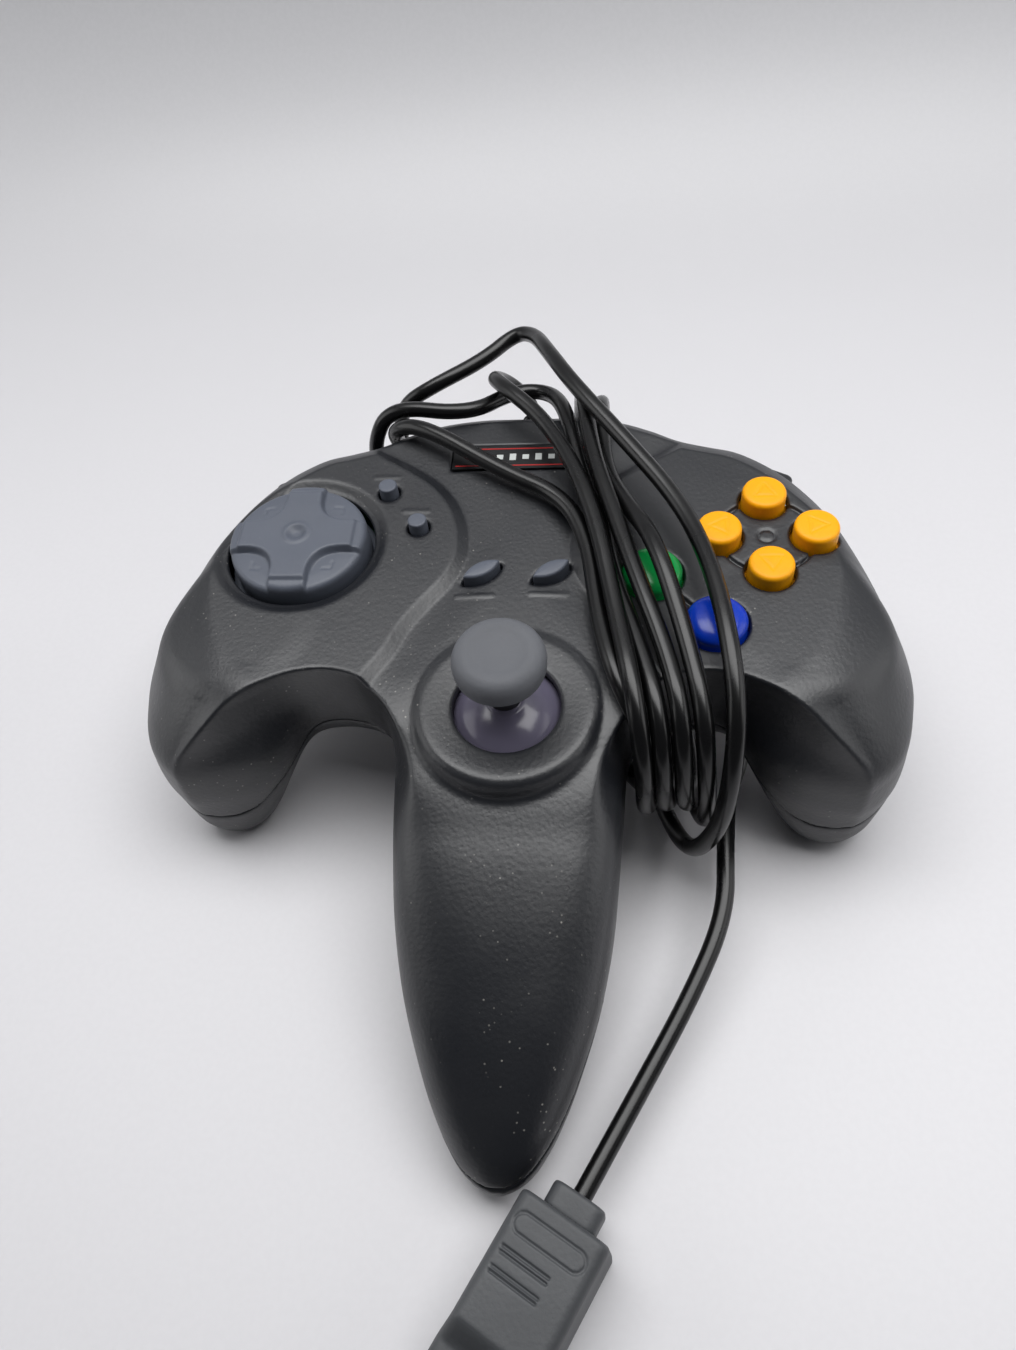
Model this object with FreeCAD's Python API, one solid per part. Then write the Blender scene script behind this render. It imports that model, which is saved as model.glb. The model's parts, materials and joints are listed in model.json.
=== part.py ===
import FreeCAD, Part
import math
import os

from FreeCAD import Vector

# Wired three-pronged game controller, millimetres, +Z up.
# Origin: middle of the footprint, on the surface that the two legs and the middle prong stand on.
# +X is the player's right, +Y points away from the player, towards the lead's exit.

# ---------------------------------------------------------------- driving dimensions
WALL = 2.2                 # shell wall
FACE_Z = 46.0              # top face of the valley in the middle
LOBE_Z = FACE_Z + 1.0      # top face round the pad and the right-hand buttons
BELLY_Z = 17.0             # underside of the body between the legs
REAR_Y = 85.6
SEAM_Z = 26.0              # parting line of the two shells
FIT_GAP = 0.3              # free gap round moving pieces
PIN_GAP = 0.05             # running gap of pins

STICK_Y = -2.0
PIVOT_Z = 33.0             # centre of the stick's gimbal
SKIRT_R = 15.0
SOCKET_R = 10.5
COLLAR_R = 19.0
COLLAR_TOP = 46.8
STICK_TOP = 64.0

PAD_X, PAD_Y, PAD_R = -48.7, 39.7, 15.3
BOARD_Z, BOARD_T = 33.4, 1.6
RUBBER_T = 1.0
DOME_TOP = 37.2            # contact domes, drawn at their pressed height
BUTTON_FOOT = 39.0         # underside of every button
BUTTON_TRAVEL = 1.5
FLANGE_Z, FLANGE_T = 42.2, 1.2

C_X, C_Y, C_RING, C_R = 52.6, 40.3, 10.0, 4.7
DOME_BUTTONS = {"green_button": (28.5, 29.7), "blue_button": (41.0, 16.8)}
DOME_R = 6.2
SMALL_BUTTONS = {"set_button": (-30.5, 54.7), "clear_button": (-22.5, 44.0)}
SMALL_R = 2.1
LENS_BUTTONS = {"slow_button": (-7.4, 31.2), "start_button": (7.4, 31.2)}
LENS_LONG, LENS_SHORT, LENS_ANGLE = 4.5, 1.9, 32.0

SCREW_SPOTS = [(29, 66), (-29, 66), (24, 13.5), (-24, 13.5), (0, -56)]
SCREW_R, SCREW_HEAD_R, SCREW_HEAD_T = 1.25, 2.4, 1.8
BOSS_R = 3.0

SKIRT_T, SKIRT_REACH = 1.2, 60.0               # dome's wall, and how far down it reaches in degrees
SHAFT_R, CAP_R, CAP_H = 3.0, 8.8, 7.5
RING_IN, RING_OUT, RING_HALF = 5.5, 8.0, 2.0    # gimbal ring: radii and half height
RING_PIN_R, CROSS_PIN_R = 1.4, 1.2
BAIL_IN, BAIL_OUT, BAIL_HALF = 9.5, 11.5, 3.2
HOUSING_HALF, HOUSING_CAVITY = 14.5, 12.6
HOUSING_TOP, HOUSING_FOOT = 35.2, 19.4
HOUSING_LEDGE_R, HOUSING_LEDGE_Z = 13.4, 33.9   # walls are lower outside this radius, under the tilted dome
SENSOR_HALF, SENSOR_T, SENSOR_Z = 5.0, 3.4, (27.0, 35.2)

PAD_TOP, PAD_CROSS_TOP, PAD_ARM = 49.0, 50.6, 4.0   # disc top, cross top, half width of an arm
PAD_FLANGE_R, PAD_FLANGE_Z, PAD_FLANGE_T = 17.5, 40.0, 0.8
PAD_PIVOT_R, PIVOT_BALL_TOP = 2.8, 39.2

PORT_X, PORT_Y, PORT_Z = (-19, 19), (52, 92), (20.4, 31.2)      # expansion slot, open at the rear
PORT_WALL = 1.6
REST_X, REST_Y = (-7.0, 9.0), (64.0, 78.0)      # foot under the expansion slot, clear of the lead
SHOULDER_AT, SHOULDER_ANGLE = (51.5, 70.6), -29.0                # shoulder button's middle and heading
SHOULDER_L, SHOULDER_T, SHOULDER_Z = 23.0, 7.0, (31.5, 40.5)
SHOULDER_PROUD = 1.2                            # how far the bar stands out of the wall
SHOULDER_HINGE, SHOULDER_PIN_R = (-11.54, -1.52), 1.2           # along and across the bar
TRIGGER_X, TRIGGER_Y, TRIGGER_Z = (-8.5, 8.5), (-12, 13), (10.5, 16.8)
TRIGGER_HINGE_Z, TRIGGER_PIN_R = 15.8, 1.0
LABEL_W, LABEL_D, LABEL_T, LABEL_Y = 34.0, 7.4, 0.5, 66.5
RELIEF_Y, RELIEF_Z, RELIEF_L, RELIEF_R, RELIEF_GRIP_R = 74.0, 36.0, 16.0, 3.4, 4.1

CORD_D = 3.7
CORD_R = CORD_D / 2
PLUG_AT = (13.2, -86.2)    # rear face of the plug's body
PLUG_AXIS = -119.4         # degrees, the way that the plug points
PLUG_W, PLUG_H, PLUG_L = 18.5, 17.4, 27.0

X_AXIS, Y_AXIS = Vector(1, 0, 0), Vector(0, 1, 0)

os.makedirs("parts", exist_ok=True)


# ---------------------------------------------------------------- helpers
def save(name, shape):
    shape.exportStep("parts/%s.step" % name)
    box = shape.BoundBox
    print("%-20s %9.1f mm3 z %.1f..%.1f valid %s solids %d" % (
        name, shape.Volume, box.ZMin, box.ZMax, shape.isValid(), len(shape.Solids)))


def cyl(x, y, z, radius, height, axis=Vector(0, 0, 1)):
    return Part.makeCylinder(radius, height, Vector(x, y, z), axis)


def block(x, y, z):
    """Box from three (low, high) pairs."""
    size = [high - low for low, high in (x, y, z)]
    return Part.makeBox(size[0], size[1], size[2], Vector(x[0], y[0], z[0]))


def union(shapes):
    return shapes[0].multiFuse(shapes[1:]) if len(shapes) > 1 else shapes[0]


def spline(points, closed=False):
    curve = Part.BSplineCurve()
    curve.interpolate([Vector(*p) for p in points], PeriodicFlag=closed)
    return curve.toShape()


def prism(points, z_low, z_high):
    corners = [Vector(x, y, z_low) for x, y in points]
    face = Part.Face(Part.makePolygon(corners + corners[:1]))
    return face.extrude(Vector(0, 0, z_high - z_low))


def lens(x, y, z, height, grow=0.0):
    rim = Part.Ellipse(Vector(0, 0, 0), LENS_LONG + grow, LENS_SHORT + grow).toShape()
    solid = Part.Face(Part.Wire(rim)).extrude(Vector(0, 0, height))
    solid.rotate(Vector(0, 0, 0), Vector(0, 0, 1), LENS_ANGLE)
    solid.translate(Vector(x, y, z))
    return solid


def turned(profile, x, y, z):
    """Solid of revolution about a vertical axis from (radius, height) corners."""
    corners = [Vector(r, 0, h) for r, h in profile]
    face = Part.Face(Part.makePolygon(corners + corners[:1]))
    solid = face.revolve(Vector(0, 0, 0), Vector(0, 0, 1), 360)
    solid.translate(Vector(x, y, z))
    return solid


# ---------------------------------------------------------------- outer form of the case
# Half outlines of the body: all round it, as if it had no notches, and along one notch.
OUTER_EDGE = [(0, 85.6), (12, 85.4), (23, 83.3), (31, 79.8), (37, 76.6), (43, 74.6), (49, 72.6),
              (55, 69), (61, 63.8), (66.5, 57.5), (71.5, 50.5), (75.8, 42), (79.5, 31), (81.4, 19),
              (80.5, 8), (77, -1.5), (70, -9.5), (58, -15), (40, -17), (20, -16), (0, -15.5)]
NOTCH_EDGE = [(90, -23), (78, -14), (68.5, -9.2), (62, -5.5), (56.5, -1.5), (50.5, 2.3), (44, 4.9),
              (37, 5.6), (31, 4), (26, 0), (22.2, -5.5), (19, -13), (17.5, -26)]
NOTCH_FLOOR_Y = -45.0
# height, how far the side wall and the notch wall are drawn in there
BODY_LEVELS = [(BELLY_Z, 9.0, 5.0), (21, 4.0, 2.5), (27, 0.8, 1.0), (31, 0.0, 0.6), (34.5, 1.0, 0.4), (37.5, 1.8, 0.3),
               (40.5, 2.6, 0.2), (44, 3.4, 0.1), (45.8, 4.0, 0.2), (46.6, 4.3, 0.7), (LOBE_Z, 4.5, 1.8)]
# The top face falls away in a crowned border: y, the border's width, the height of its rim
CROWN = [(-60, 21.0, 34.5), (2, 22.0, 34.5), (13, 20.0, 34.5), (20, 17.0, 34.5), (30, 12.5, 34.5),
         (42, 9.5, 36.0), (55, 9.5, 41.0), (90, 9.5, 42.5)]
RIM_IN = 1.8
# height, centre x, centre y, half sizes along x and y
LEG_LEVELS = [(36, 62, 14.5, 15, 15), (30, 62.7, 9.8, 15.6, 16.2), (24, 63.5, 6.6, 15.8, 15.7),
              (18, 64.5, 3.6, 14.8, 14.1), (12, 65.5, 0.9, 12.8, 12), (6, 66.3, -0.8, 10.3, 9.7),
              (1.8, 66.7, -1.6, 7.7, 7.1), (0, 66.8, -1.9, 4.9, 4.5)]
# y, half width, top, underside
PRONG_STATIONS = [(20, 24.5, 42.5, 16.5), (8, 24.0, 42.8, 15.6), (-4, 23.5, 43.0, 14.2),
                  (-16, 22.8, 42.2, 12.4), (-28, 22.0, 40.2, 10.2), (-40, 20.9, 36.6, 7.6),
                  (-51, 18.8, 32.2, 4.7), (-61, 15.7, 27.5, 2.4), (-69, 12.6, 22.8, 0.8),
                  (-75, 9.5, 18.6, 0.4), (-79.5, 6.1, 14.4, 1.6), (-82, 2.4, 10.4, 4.4)]
PRONG_SQUARENESS = 2.6


def crown_in(z, y):
    """How far the crowned border's surface is drawn in at this height and place along the body."""
    ys = [row[0] for row in CROWN]
    k = max(i for i in range(len(CROWN) - 1) if ys[i] <= y)
    share = (y - ys[k]) / (ys[k + 1] - ys[k])
    width, rim = [a + (b - a) * share for a, b in zip(CROWN[k][1:], CROWN[k + 1][1:])]
    if z <= rim:
        return 0.0
    return width - (width - RIM_IN) * math.sqrt((LOBE_Z - z) / (LOBE_Z - rim))


def drawn_in(x, y, distance):
    """Edge point moved towards the middle of its lobe."""
    to_x, to_y = 0.5 * x - x, 30 - y
    length = math.hypot(to_x, to_y)
    return x + distance * to_x / length, y + distance * to_y / length


def body_section(level, height, wall_in, inset):
    """Closed outline of the body, without its notches."""
    half = []
    for x, y in OUTER_EDGE:
        half.append(drawn_in(x, y, max(wall_in, crown_in(level, y)) + inset))
    ring = half + [(-x, y) for x, y in reversed(half[1:-1])]
    return Part.Wire(spline([(x, y, height) for x, y in ring], closed=True))


def notch_section(side, height, distance):
    """Closed outline of what one notch takes away."""
    edge = [drawn_in(x, y, distance) for x, y in NOTCH_EDGE]
    start, end = edge[0], edge[-1]
    ends = [(end[0], end[1]), (end[0], NOTCH_FLOOR_Y), (start[0], NOTCH_FLOOR_Y), (start[0], start[1])]
    lines = [Part.LineSegment(Vector(side * a[0], a[1], height), Vector(side * b[0], b[1], height)).toShape()
             for a, b in zip(ends, ends[1:])]
    return Part.Wire(Part.__sortEdges__([spline([(side * x, y, height) for x, y in edge])] + lines))


def case_form(inset):
    """Solid outer form of the case, or its hollow when inset is the wall."""
    low, high = BELLY_Z + inset, LOBE_Z - inset
    scale = (high - low) / (LOBE_Z - BELLY_Z)
    heights = [low + (z - BELLY_Z) * scale for z, _, _ in BODY_LEVELS]
    body = Part.makeLoft([body_section(z, height, wall_in, inset)
                          for height, (z, wall_in, _) in zip(heights, BODY_LEVELS)], True, True)
    heights[0] -= 0.5
    heights[-1] += 0.5
    notches = [Part.makeLoft([notch_section(side, height, notch_in + inset)
                              for height, (_, _, notch_in) in zip(heights, BODY_LEVELS)], True, True)
               for side in (-1, 1)]
    body = body.cut(union(notches))

    legs = []
    for side in (-1, 1):
        wires = []
        for z, x, y, half_x, half_y in LEG_LEVELS:
            ring = [(side * x + (half_x - inset) * math.cos(turn), y + (half_y - inset) * math.sin(turn),
                     z if z > 20 else inset + z * (20 - inset) / 20)
                    for turn in [math.radians(30 * k) for k in range(12)]]
            wires.append(Part.Wire(spline(ring, closed=True)))
        legs.append(Part.makeLoft(wires, True, False))

    wires = []
    for y, half_w, top, bottom in PRONG_STATIONS:
        if inset and half_w < 2 * inset + 1:
            continue
        half_h, middle = (top - bottom) / 2 - inset, (top + bottom) / 2
        ring = []
        for k in range(16):
            c, s = math.cos(math.radians(22.5 * k)), math.sin(math.radians(22.5 * k))
            power = 2 / PRONG_SQUARENESS
            ring.append((math.copysign(abs(c) ** power, c) * (half_w - inset), y,
                         middle + math.copysign(abs(s) ** power, s) * half_h))
        wires.append(Part.Wire(spline(ring, closed=True)))
    prong = Part.makeLoft(wires, True, False)
    return union([body, prong] + legs)


def under_seam():
    """Everything below the parting line: level in the body, falling along the prong and the legs."""
    far, deep = 130.0, -10.0
    middle = [(far, SEAM_Z), (5, SEAM_Z), (-22, 23.5), (-50, 17.0), (-far, -1.0), (-far, deep), (far, deep)]
    sides = [(far, SEAM_Z), (6.5, SEAM_Z), (-9.5, 13.0), (-far, 13.0), (-far, deep), (far, deep)]
    split_x = 27.0
    parts = []
    for profile, x_low, x_high in ((middle, -split_x, split_x), (sides, split_x, 100), (sides, -100, -split_x)):
        corners = [Vector(x_low, y, z) for y, z in profile]
        face = Part.Face(Part.makePolygon(corners + corners[:1]))
        parts.append(face.extrude(Vector(x_high - x_low, 0, 0)))
    return union(parts)


# ---------------------------------------------------------------- details cut into the shells


def shoulder_bar(side, grow):
    """Bar with the knuckle that it turns on; grown a little and further outwards, it cuts its own opening."""
    low, high = SHOULDER_Z[0] - grow, SHOULDER_Z[1] + grow
    back = SHOULDER_PROUD - 0.4 - SHOULDER_T
    reach = SHOULDER_L / 2 + grow
    bar = block((-reach, reach), (back - 6 * grow, SHOULDER_PROUD + 8 * grow), (low, high))
    bar = bar.fuse(cyl(SHOULDER_HINGE[0], SHOULDER_HINGE[1], low, SHOULDER_PIN_R + grow, high - low))
    bar.rotate(Vector(0, 0, 0), Vector(0, 0, 1), SHOULDER_ANGLE)
    bar.translate(Vector(SHOULDER_AT[0], SHOULDER_AT[1], 0))
    if side < 0:
        bar = bar.mirror(Vector(0, 0, 0), Vector(1, 0, 0))
    return bar


def c_spots():
    names = ["c_right_button", "c_up_button", "c_left_button", "c_down_button"]
    return {name: (C_X + C_RING * math.cos(math.radians(90 * k)), C_Y + C_RING * math.sin(math.radians(90 * k)))
            for k, name in enumerate(names)}


def top_openings():
    cuts = [cyl(PAD_X, PAD_Y, 30, PAD_R + 1.3, 30)] + flange_seats()
    for x, y in c_spots().values():
        cuts.append(cyl(x, y, 30, C_R + FIT_GAP, 30))
    for x, y in DOME_BUTTONS.values():
        cuts.append(cyl(x, y, 30, DOME_R + FIT_GAP, 30))
    for x, y in SMALL_BUTTONS.values():
        cuts.append(cyl(x, y, 30, SMALL_R + FIT_GAP, 30))
    for x, y in LENS_BUTTONS.values():
        cuts.append(lens(x, y, 30, 30, FIT_GAP))
    cuts.append(cyl(0, STICK_Y, 40, SOCKET_R, 20))
    cuts.append(Part.makeSphere(SKIRT_R + 0.4, Vector(0, STICK_Y, PIVOT_Z)))
    return cuts


def flange_seats():
    """Room under the shell's roof for the flanges of the round buttons."""
    spots = [(x, y, C_R) for x, y in c_spots().values()]
    spots += [(x, y, DOME_R) for x, y in DOME_BUTTONS.values()]
    roof = FACE_Z - WALL
    return [cyl(x, y, 36, radius + 1.2 + FIT_GAP, roof - 36) for x, y, radius in spots]


# Edge between the valley and the right lobe, from the rear to the front
VALLEY_EDGE = [(40, 74), (32.5, 65.4), (26.5, 61.3), (20.9, 56.6), (16.6, 50.6), (14, 43),
               (14.1, 34.3), (16.2, 29.3), (19.8, 23.9), (23.4, 18), (26.5, 10.4), (30.3, 3.7),
               (33, -3)]


def valley():
    """What is taken off between the two lobes, inside the S-shaped edges."""
    rear_y, front_y = 100, -40
    edges = []
    for side in (-1, 1):
        edges.append(spline([(side * x, y, FACE_Z) for x, y in VALLEY_EDGE]))
    for (x, y), far_y in ((VALLEY_EDGE[0], rear_y), (VALLEY_EDGE[-1], front_y)):
        corners = [(-x, y), (-x, far_y), (x, far_y), (x, y)]
        ends = [(Vector(*a, FACE_Z), Vector(*b, FACE_Z)) for a, b in zip(corners, corners[1:])]
        edges += [Part.LineSegment(start, end).toShape() for start, end in ends]
    return Part.Face(Part.Wire(Part.__sortEdges__(edges))).extrude(Vector(0, 0, 10))


def make_shells():
    outer, hollow = case_form(0), case_form(WALL)
    shell = outer.cut(hollow)
    below = under_seam()
    bottom = shell.common(below)
    top = shell.cut(below)

    # stick collar, solid down to the dome skirt's path
    collar = cyl(0, STICK_Y, 38.0, COLLAR_R, COLLAR_TOP - 38.0)
    collar = collar.makeFillet(2.4, [e for e in collar.Edges if abs(e.BoundBox.ZMin - COLLAR_TOP) < 0.01
                                     and e.BoundBox.XLength > 10])
    top = union([top.cut(valley()), collar])
    for x, y in SCREW_SPOTS:
        roof = FACE_Z - 1 if y > 0 else 26.0
        top = top.fuse(cyl(x, y, top_boss_foot(x, y), BOSS_R, roof - top_boss_foot(x, y)))
    cuts = top_openings() + [cyl(x, y, 0, SCREW_R, top_boss_foot(x, y) + 7) for x, y in SCREW_SPOTS]
    cuts += [shoulder_bar(side, 0.4) for side in (-1, 1)]
    cuts += relief_seat()
    cuts += [block((-LABEL_W / 2, LABEL_W / 2), (LABEL_Y - LABEL_D / 2, LABEL_Y + LABEL_D / 2),
                   (FACE_Z - LABEL_T, 50))]
    top = top.cut(union(cuts))

    # expansion slot's box, screw posts and trigger opening
    slot_box = block((PORT_X[0] - PORT_WALL, PORT_X[1] + PORT_WALL), (PORT_Y[0] - PORT_WALL - 2, REAR_Y - 4),
                     (PORT_Z[0] - PORT_WALL, PORT_Z[1] + PORT_WALL + 0.2))
    posts = [cyl(x, y, floor_at(x, y), BOSS_R + 0.9, top_boss_foot(x, y) - floor_at(x, y))
             for x, y in SCREW_SPOTS]
    rests = [cyl(x, y, BELLY_Z + 1, 2.5, BOARD_Z - BELLY_Z - 1)
             for x, y in ((50, 50), (-50, 50), (52, 19), (-52, 19))]
    bottom = union([bottom, slot_box] + posts + rests)
    port = block(PORT_X, PORT_Y, PORT_Z)
    top = top.cut(union([slot_box, port] + posts))
    bottom = bottom.fuse(rest_foot())
    cuts = [port]
    for x, y in SCREW_SPOTS:
        cuts.append(cyl(x, y, -1, SCREW_R, 50))
        cuts.append(cyl(x, y, -1, SCREW_HEAD_R + 0.3, screw_seat(x, y) + 1))
    cuts += relief_seat()
    trigger_y = (TRIGGER_Y[0] - 1.2, TRIGGER_Y[1] + 1.4)
    cuts.append(block((TRIGGER_X[0] - 0.5, TRIGGER_X[1] + 0.5), trigger_y, (5, 19.6)))
    bottom = bottom.cut(union(cuts))
    return max(top.Solids, key=lambda s: s.Volume), max(bottom.Solids, key=lambda s: s.Volume)


def rest_foot():
    """Tapered foot under the expansion slot that takes the weight of the rear."""
    rings = []
    for z, inset in ((0.0, 2.6), (1.2, 1.4), (BELLY_Z + 1.0, 0.0)):
        x_low, x_high = REST_X[0] + inset, REST_X[1] - inset
        y_low, y_high = REST_Y[0] + inset, REST_Y[1] - inset
        rings.append(Part.makePolygon([Vector(x, y, z) for x, y in (
            (x_low, y_low), (x_high, y_low), (x_high, y_high), (x_low, y_high), (x_low, y_low))]))
    return Part.makeLoft(rings, True, True)


def floor_at(x, y):
    return BELLY_Z + 1.0 if y > 0 else 5.5


def screw_seat(x, y):
    return BELLY_Z + 4.0 if y > 0 else 7.5


def top_boss_foot(x, y):
    return 30.0 if y > 0 else 16.0


# ---------------------------------------------------------------- board, rubber sheets, buttons


def relief_seat():
    """Hole and groove that hold the strain relief in the rear wall."""
    start = RELIEF_Y - 1
    return [cyl(0, start, RELIEF_Z, RELIEF_R, 20, Y_AXIS),
            cyl(0, start, RELIEF_Z, RELIEF_GRIP_R, 5, Y_AXIS)]


def make_board():
    half = [(0, 20), (21, 20), (33.5, 13), (52, 12.8), (63, 17), (69, 29), (65, 45), (55, 56), (35, 61), (0, 62)]
    outline = half + [(-x, y) for x, y in reversed(half[1:-1])]
    board = prism(outline, BOARD_Z, BOARD_Z + BOARD_T)
    return board.cut(union([cyl(x, y, 20, BOSS_R + 1.4, 20) for x, y in SCREW_SPOTS]))


def rubber_sheet(x, y, contacts, dome_r):
    foot = BOARD_Z + BOARD_T
    sheet = block(x, y, (foot, foot + RUBBER_T))
    domes = [cyl(cx, cy, foot, dome_r, DOME_TOP - foot) for cx, cy in contacts]
    cups = [cyl(cx, cy, foot, dome_r - 1.1, 1.0) for cx, cy in contacts]
    return union([sheet] + domes).cut(union(cups))


def round_button(x, y, radius, top, domed=False):
    """Button body with its retaining flange; the top edge is rounded or domed."""
    edge = 2.0 if domed else 0.6
    steps = 6
    profile = [(0, BUTTON_FOOT), (radius, BUTTON_FOOT), (radius, FLANGE_Z), (radius + 1.2, FLANGE_Z),
               (radius + 1.2, FLANGE_Z + FLANGE_T), (radius, FLANGE_Z + FLANGE_T), (radius, top - edge)]
    for k in range(1, steps + 1):
        turn = math.radians(90 * k / steps)
        reach = radius if domed else edge
        profile.append((radius - reach * (1 - math.cos(turn)), top - edge + edge * math.sin(turn)))
    if profile[-1][0] > 0.01:
        profile.append((0, top))
    return turned(profile, x, y, 0)


def make_pad():
    """Tilting pad: flange, disc and raised cross with a dimple, on a short centre boss."""
    flange_top = PAD_FLANGE_Z + PAD_FLANGE_T
    chamfer, reach = 0.8, PAD_R - 0.7
    disc = turned([(0, PAD_FLANGE_Z), (PAD_FLANGE_R, PAD_FLANGE_Z), (PAD_FLANGE_R, flange_top),
                   (PAD_R, flange_top),
                   (PAD_R, PAD_TOP - chamfer), (PAD_R - chamfer, PAD_TOP), (0, PAD_TOP)], PAD_X, PAD_Y, 0)
    arms = [block((PAD_X - w, PAD_X + w), (PAD_Y - d, PAD_Y + d), (PAD_TOP - 0.5, PAD_CROSS_TOP))
            for w, d in ((reach, PAD_ARM), (PAD_ARM, reach))]
    cross = union(arms).common(cyl(PAD_X, PAD_Y, PAD_TOP - 1, PAD_R - 0.5, 4))
    boss = cyl(PAD_X, PAD_Y, PIVOT_BALL_TOP + 0.3, PAD_PIVOT_R, PAD_FLANGE_Z - PIVOT_BALL_TOP)
    pad = union([disc, cross, boss])
    return pad.cut(Part.makeSphere(3.0, Vector(PAD_X, PAD_Y, PAD_CROSS_TOP + 1.8)))


# ---------------------------------------------------------------- stick


def through_pivot(radius, half_length, axis):
    start = Vector(0, STICK_Y, PIVOT_Z) - axis * half_length
    return Part.makeCylinder(radius, 2 * half_length, start, axis)


def make_housing():
    body = block((-HOUSING_HALF, HOUSING_HALF), (STICK_Y - HOUSING_HALF, STICK_Y + HOUSING_HALF),
                 (HOUSING_FOOT, HOUSING_TOP))
    upright = [e for e in body.Edges if e.BoundBox.ZLength > 10]
    body = body.makeFillet(4.0, upright)
    cavity = cyl(0, STICK_Y, HOUSING_FOOT + 1.4, HOUSING_CAVITY, 30)
    ledge = cyl(0, STICK_Y, HOUSING_LEDGE_Z, 30, 10).cut(cyl(0, STICK_Y, HOUSING_LEDGE_Z - 1, HOUSING_LEDGE_R, 12))
    holes = [through_pivot(RING_PIN_R + PIN_GAP, 20, X_AXIS), through_pivot(RING_PIN_R + PIN_GAP, 20, Y_AXIS)]
    return body.cut(union([cavity, ledge] + holes))


def make_ring():
    ring = cyl(0, STICK_Y, PIVOT_Z - RING_HALF, RING_OUT, 2 * RING_HALF)
    pins = through_pivot(RING_PIN_R, HOUSING_HALF - 0.2, X_AXIS)
    hole = cyl(0, STICK_Y, PIVOT_Z - 5, RING_IN, 10)
    return union([ring, pins]).cut(union([hole, through_pivot(CROSS_PIN_R + PIN_GAP, 10, Y_AXIS)]))


def make_bail():
    rim = cyl(-BAIL_HALF, STICK_Y, PIVOT_Z, BAIL_OUT, 2 * BAIL_HALF, X_AXIS)
    rim = rim.cut(cyl(-BAIL_HALF - 1, STICK_Y, PIVOT_Z, BAIL_IN, 2 * BAIL_HALF + 2, X_AXIS))
    rim = rim.common(block((-9, 9), (-30, 30), (PIVOT_Z - 20, PIVOT_Z + RING_PIN_R)))
    slot = block((-1.9, 1.9), (STICK_Y - 6.3, STICK_Y + 6.3), (PIVOT_Z - 13, PIVOT_Z - 6))
    pins = through_pivot(RING_PIN_R, HOUSING_HALF - 0.2, Y_AXIS).cut(cyl(0, STICK_Y, 0, BAIL_IN + 0.8, 60))
    return union([rim, pins]).cut(slot)


def make_shaft():
    hub = cyl(0, STICK_Y, PIVOT_Z - 3, SHAFT_R, STICK_TOP - CAP_H - PIVOT_Z + 3)
    neck = cyl(0, STICK_Y, STICK_TOP - 8, 2.4, 6.0)
    tail = cyl(0, STICK_Y, PIVOT_Z - 12, 1.5, 10)
    return union([hub, neck, tail, through_pivot(CROSS_PIN_R, RING_OUT - 0.3, Y_AXIS)])


def make_skirt():
    centre = Vector(0, STICK_Y, PIVOT_Z)
    shell = Part.makeSphere(SKIRT_R, centre).cut(Part.makeSphere(SKIRT_R - SKIRT_T, centre))
    rim_z = PIVOT_Z + SKIRT_R * math.cos(math.radians(SKIRT_REACH))
    shell = shell.common(cyl(0, STICK_Y, rim_z, 20, 20))
    return shell.cut(cyl(0, STICK_Y, PIVOT_Z, SHAFT_R, 30))


def make_cap():
    foot, top, radius = STICK_TOP - CAP_H, STICK_TOP, CAP_R
    profile = [(2.4, foot), (5.6, foot), (7.8, foot + 1.0), (radius, foot + 3.0), (radius, foot + 5.2),
               (radius - 0.7, top - 1.0), (radius - 2.4, top - 0.3), (5.0, top), (0, top - 0.5),
               (0, foot + 5.5), (2.4, foot + 5.5)]
    return turned(profile, 0, STICK_Y, 0)


# ---------------------------------------------------------------- lead and plug
def plug_place(shape):
    shape.rotate(Vector(0, 0, 0), Vector(0, 0, 1), PLUG_AXIS)
    shape.translate(Vector(PLUG_AT[0], PLUG_AT[1], 0))
    return shape


def make_plug():
    """Overmould: tall grip block, then a lower and slightly wider nose housing."""
    grip = block((0, PLUG_L), (-PLUG_W / 2, PLUG_W / 2), (0, PLUG_H))
    grip = grip.makeFillet(3.0, [e for e in grip.Edges if e.BoundBox.XLength > 20 and e.BoundBox.ZMin > 10])
    nose = block((PLUG_L - 2, PLUG_L + 15), (-PLUG_W / 2 - 0.6, PLUG_W / 2 + 0.6), (0, 13.4))
    socket = block((PLUG_L + 3, PLUG_L + 16), (-6.4, 6.4), (2.8, 10.6))
    return plug_place(union([grip, nose]).cut(socket))


def make_plug_boss():
    boss = block((-4.6, 0), (-5.2, 5.2), (PLUG_H / 2 - 4.6, PLUG_H / 2 + 4.6))
    boss = boss.makeFillet(3.2, [e for e in boss.Edges if e.BoundBox.XLength > 4])
    return plug_place(boss)


def make_contacts():
    blade = block((PLUG_L + 3, PLUG_L + 6), (-4.6, 4.6), (5.4, 7.6))
    return plug_place(blade)


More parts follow.
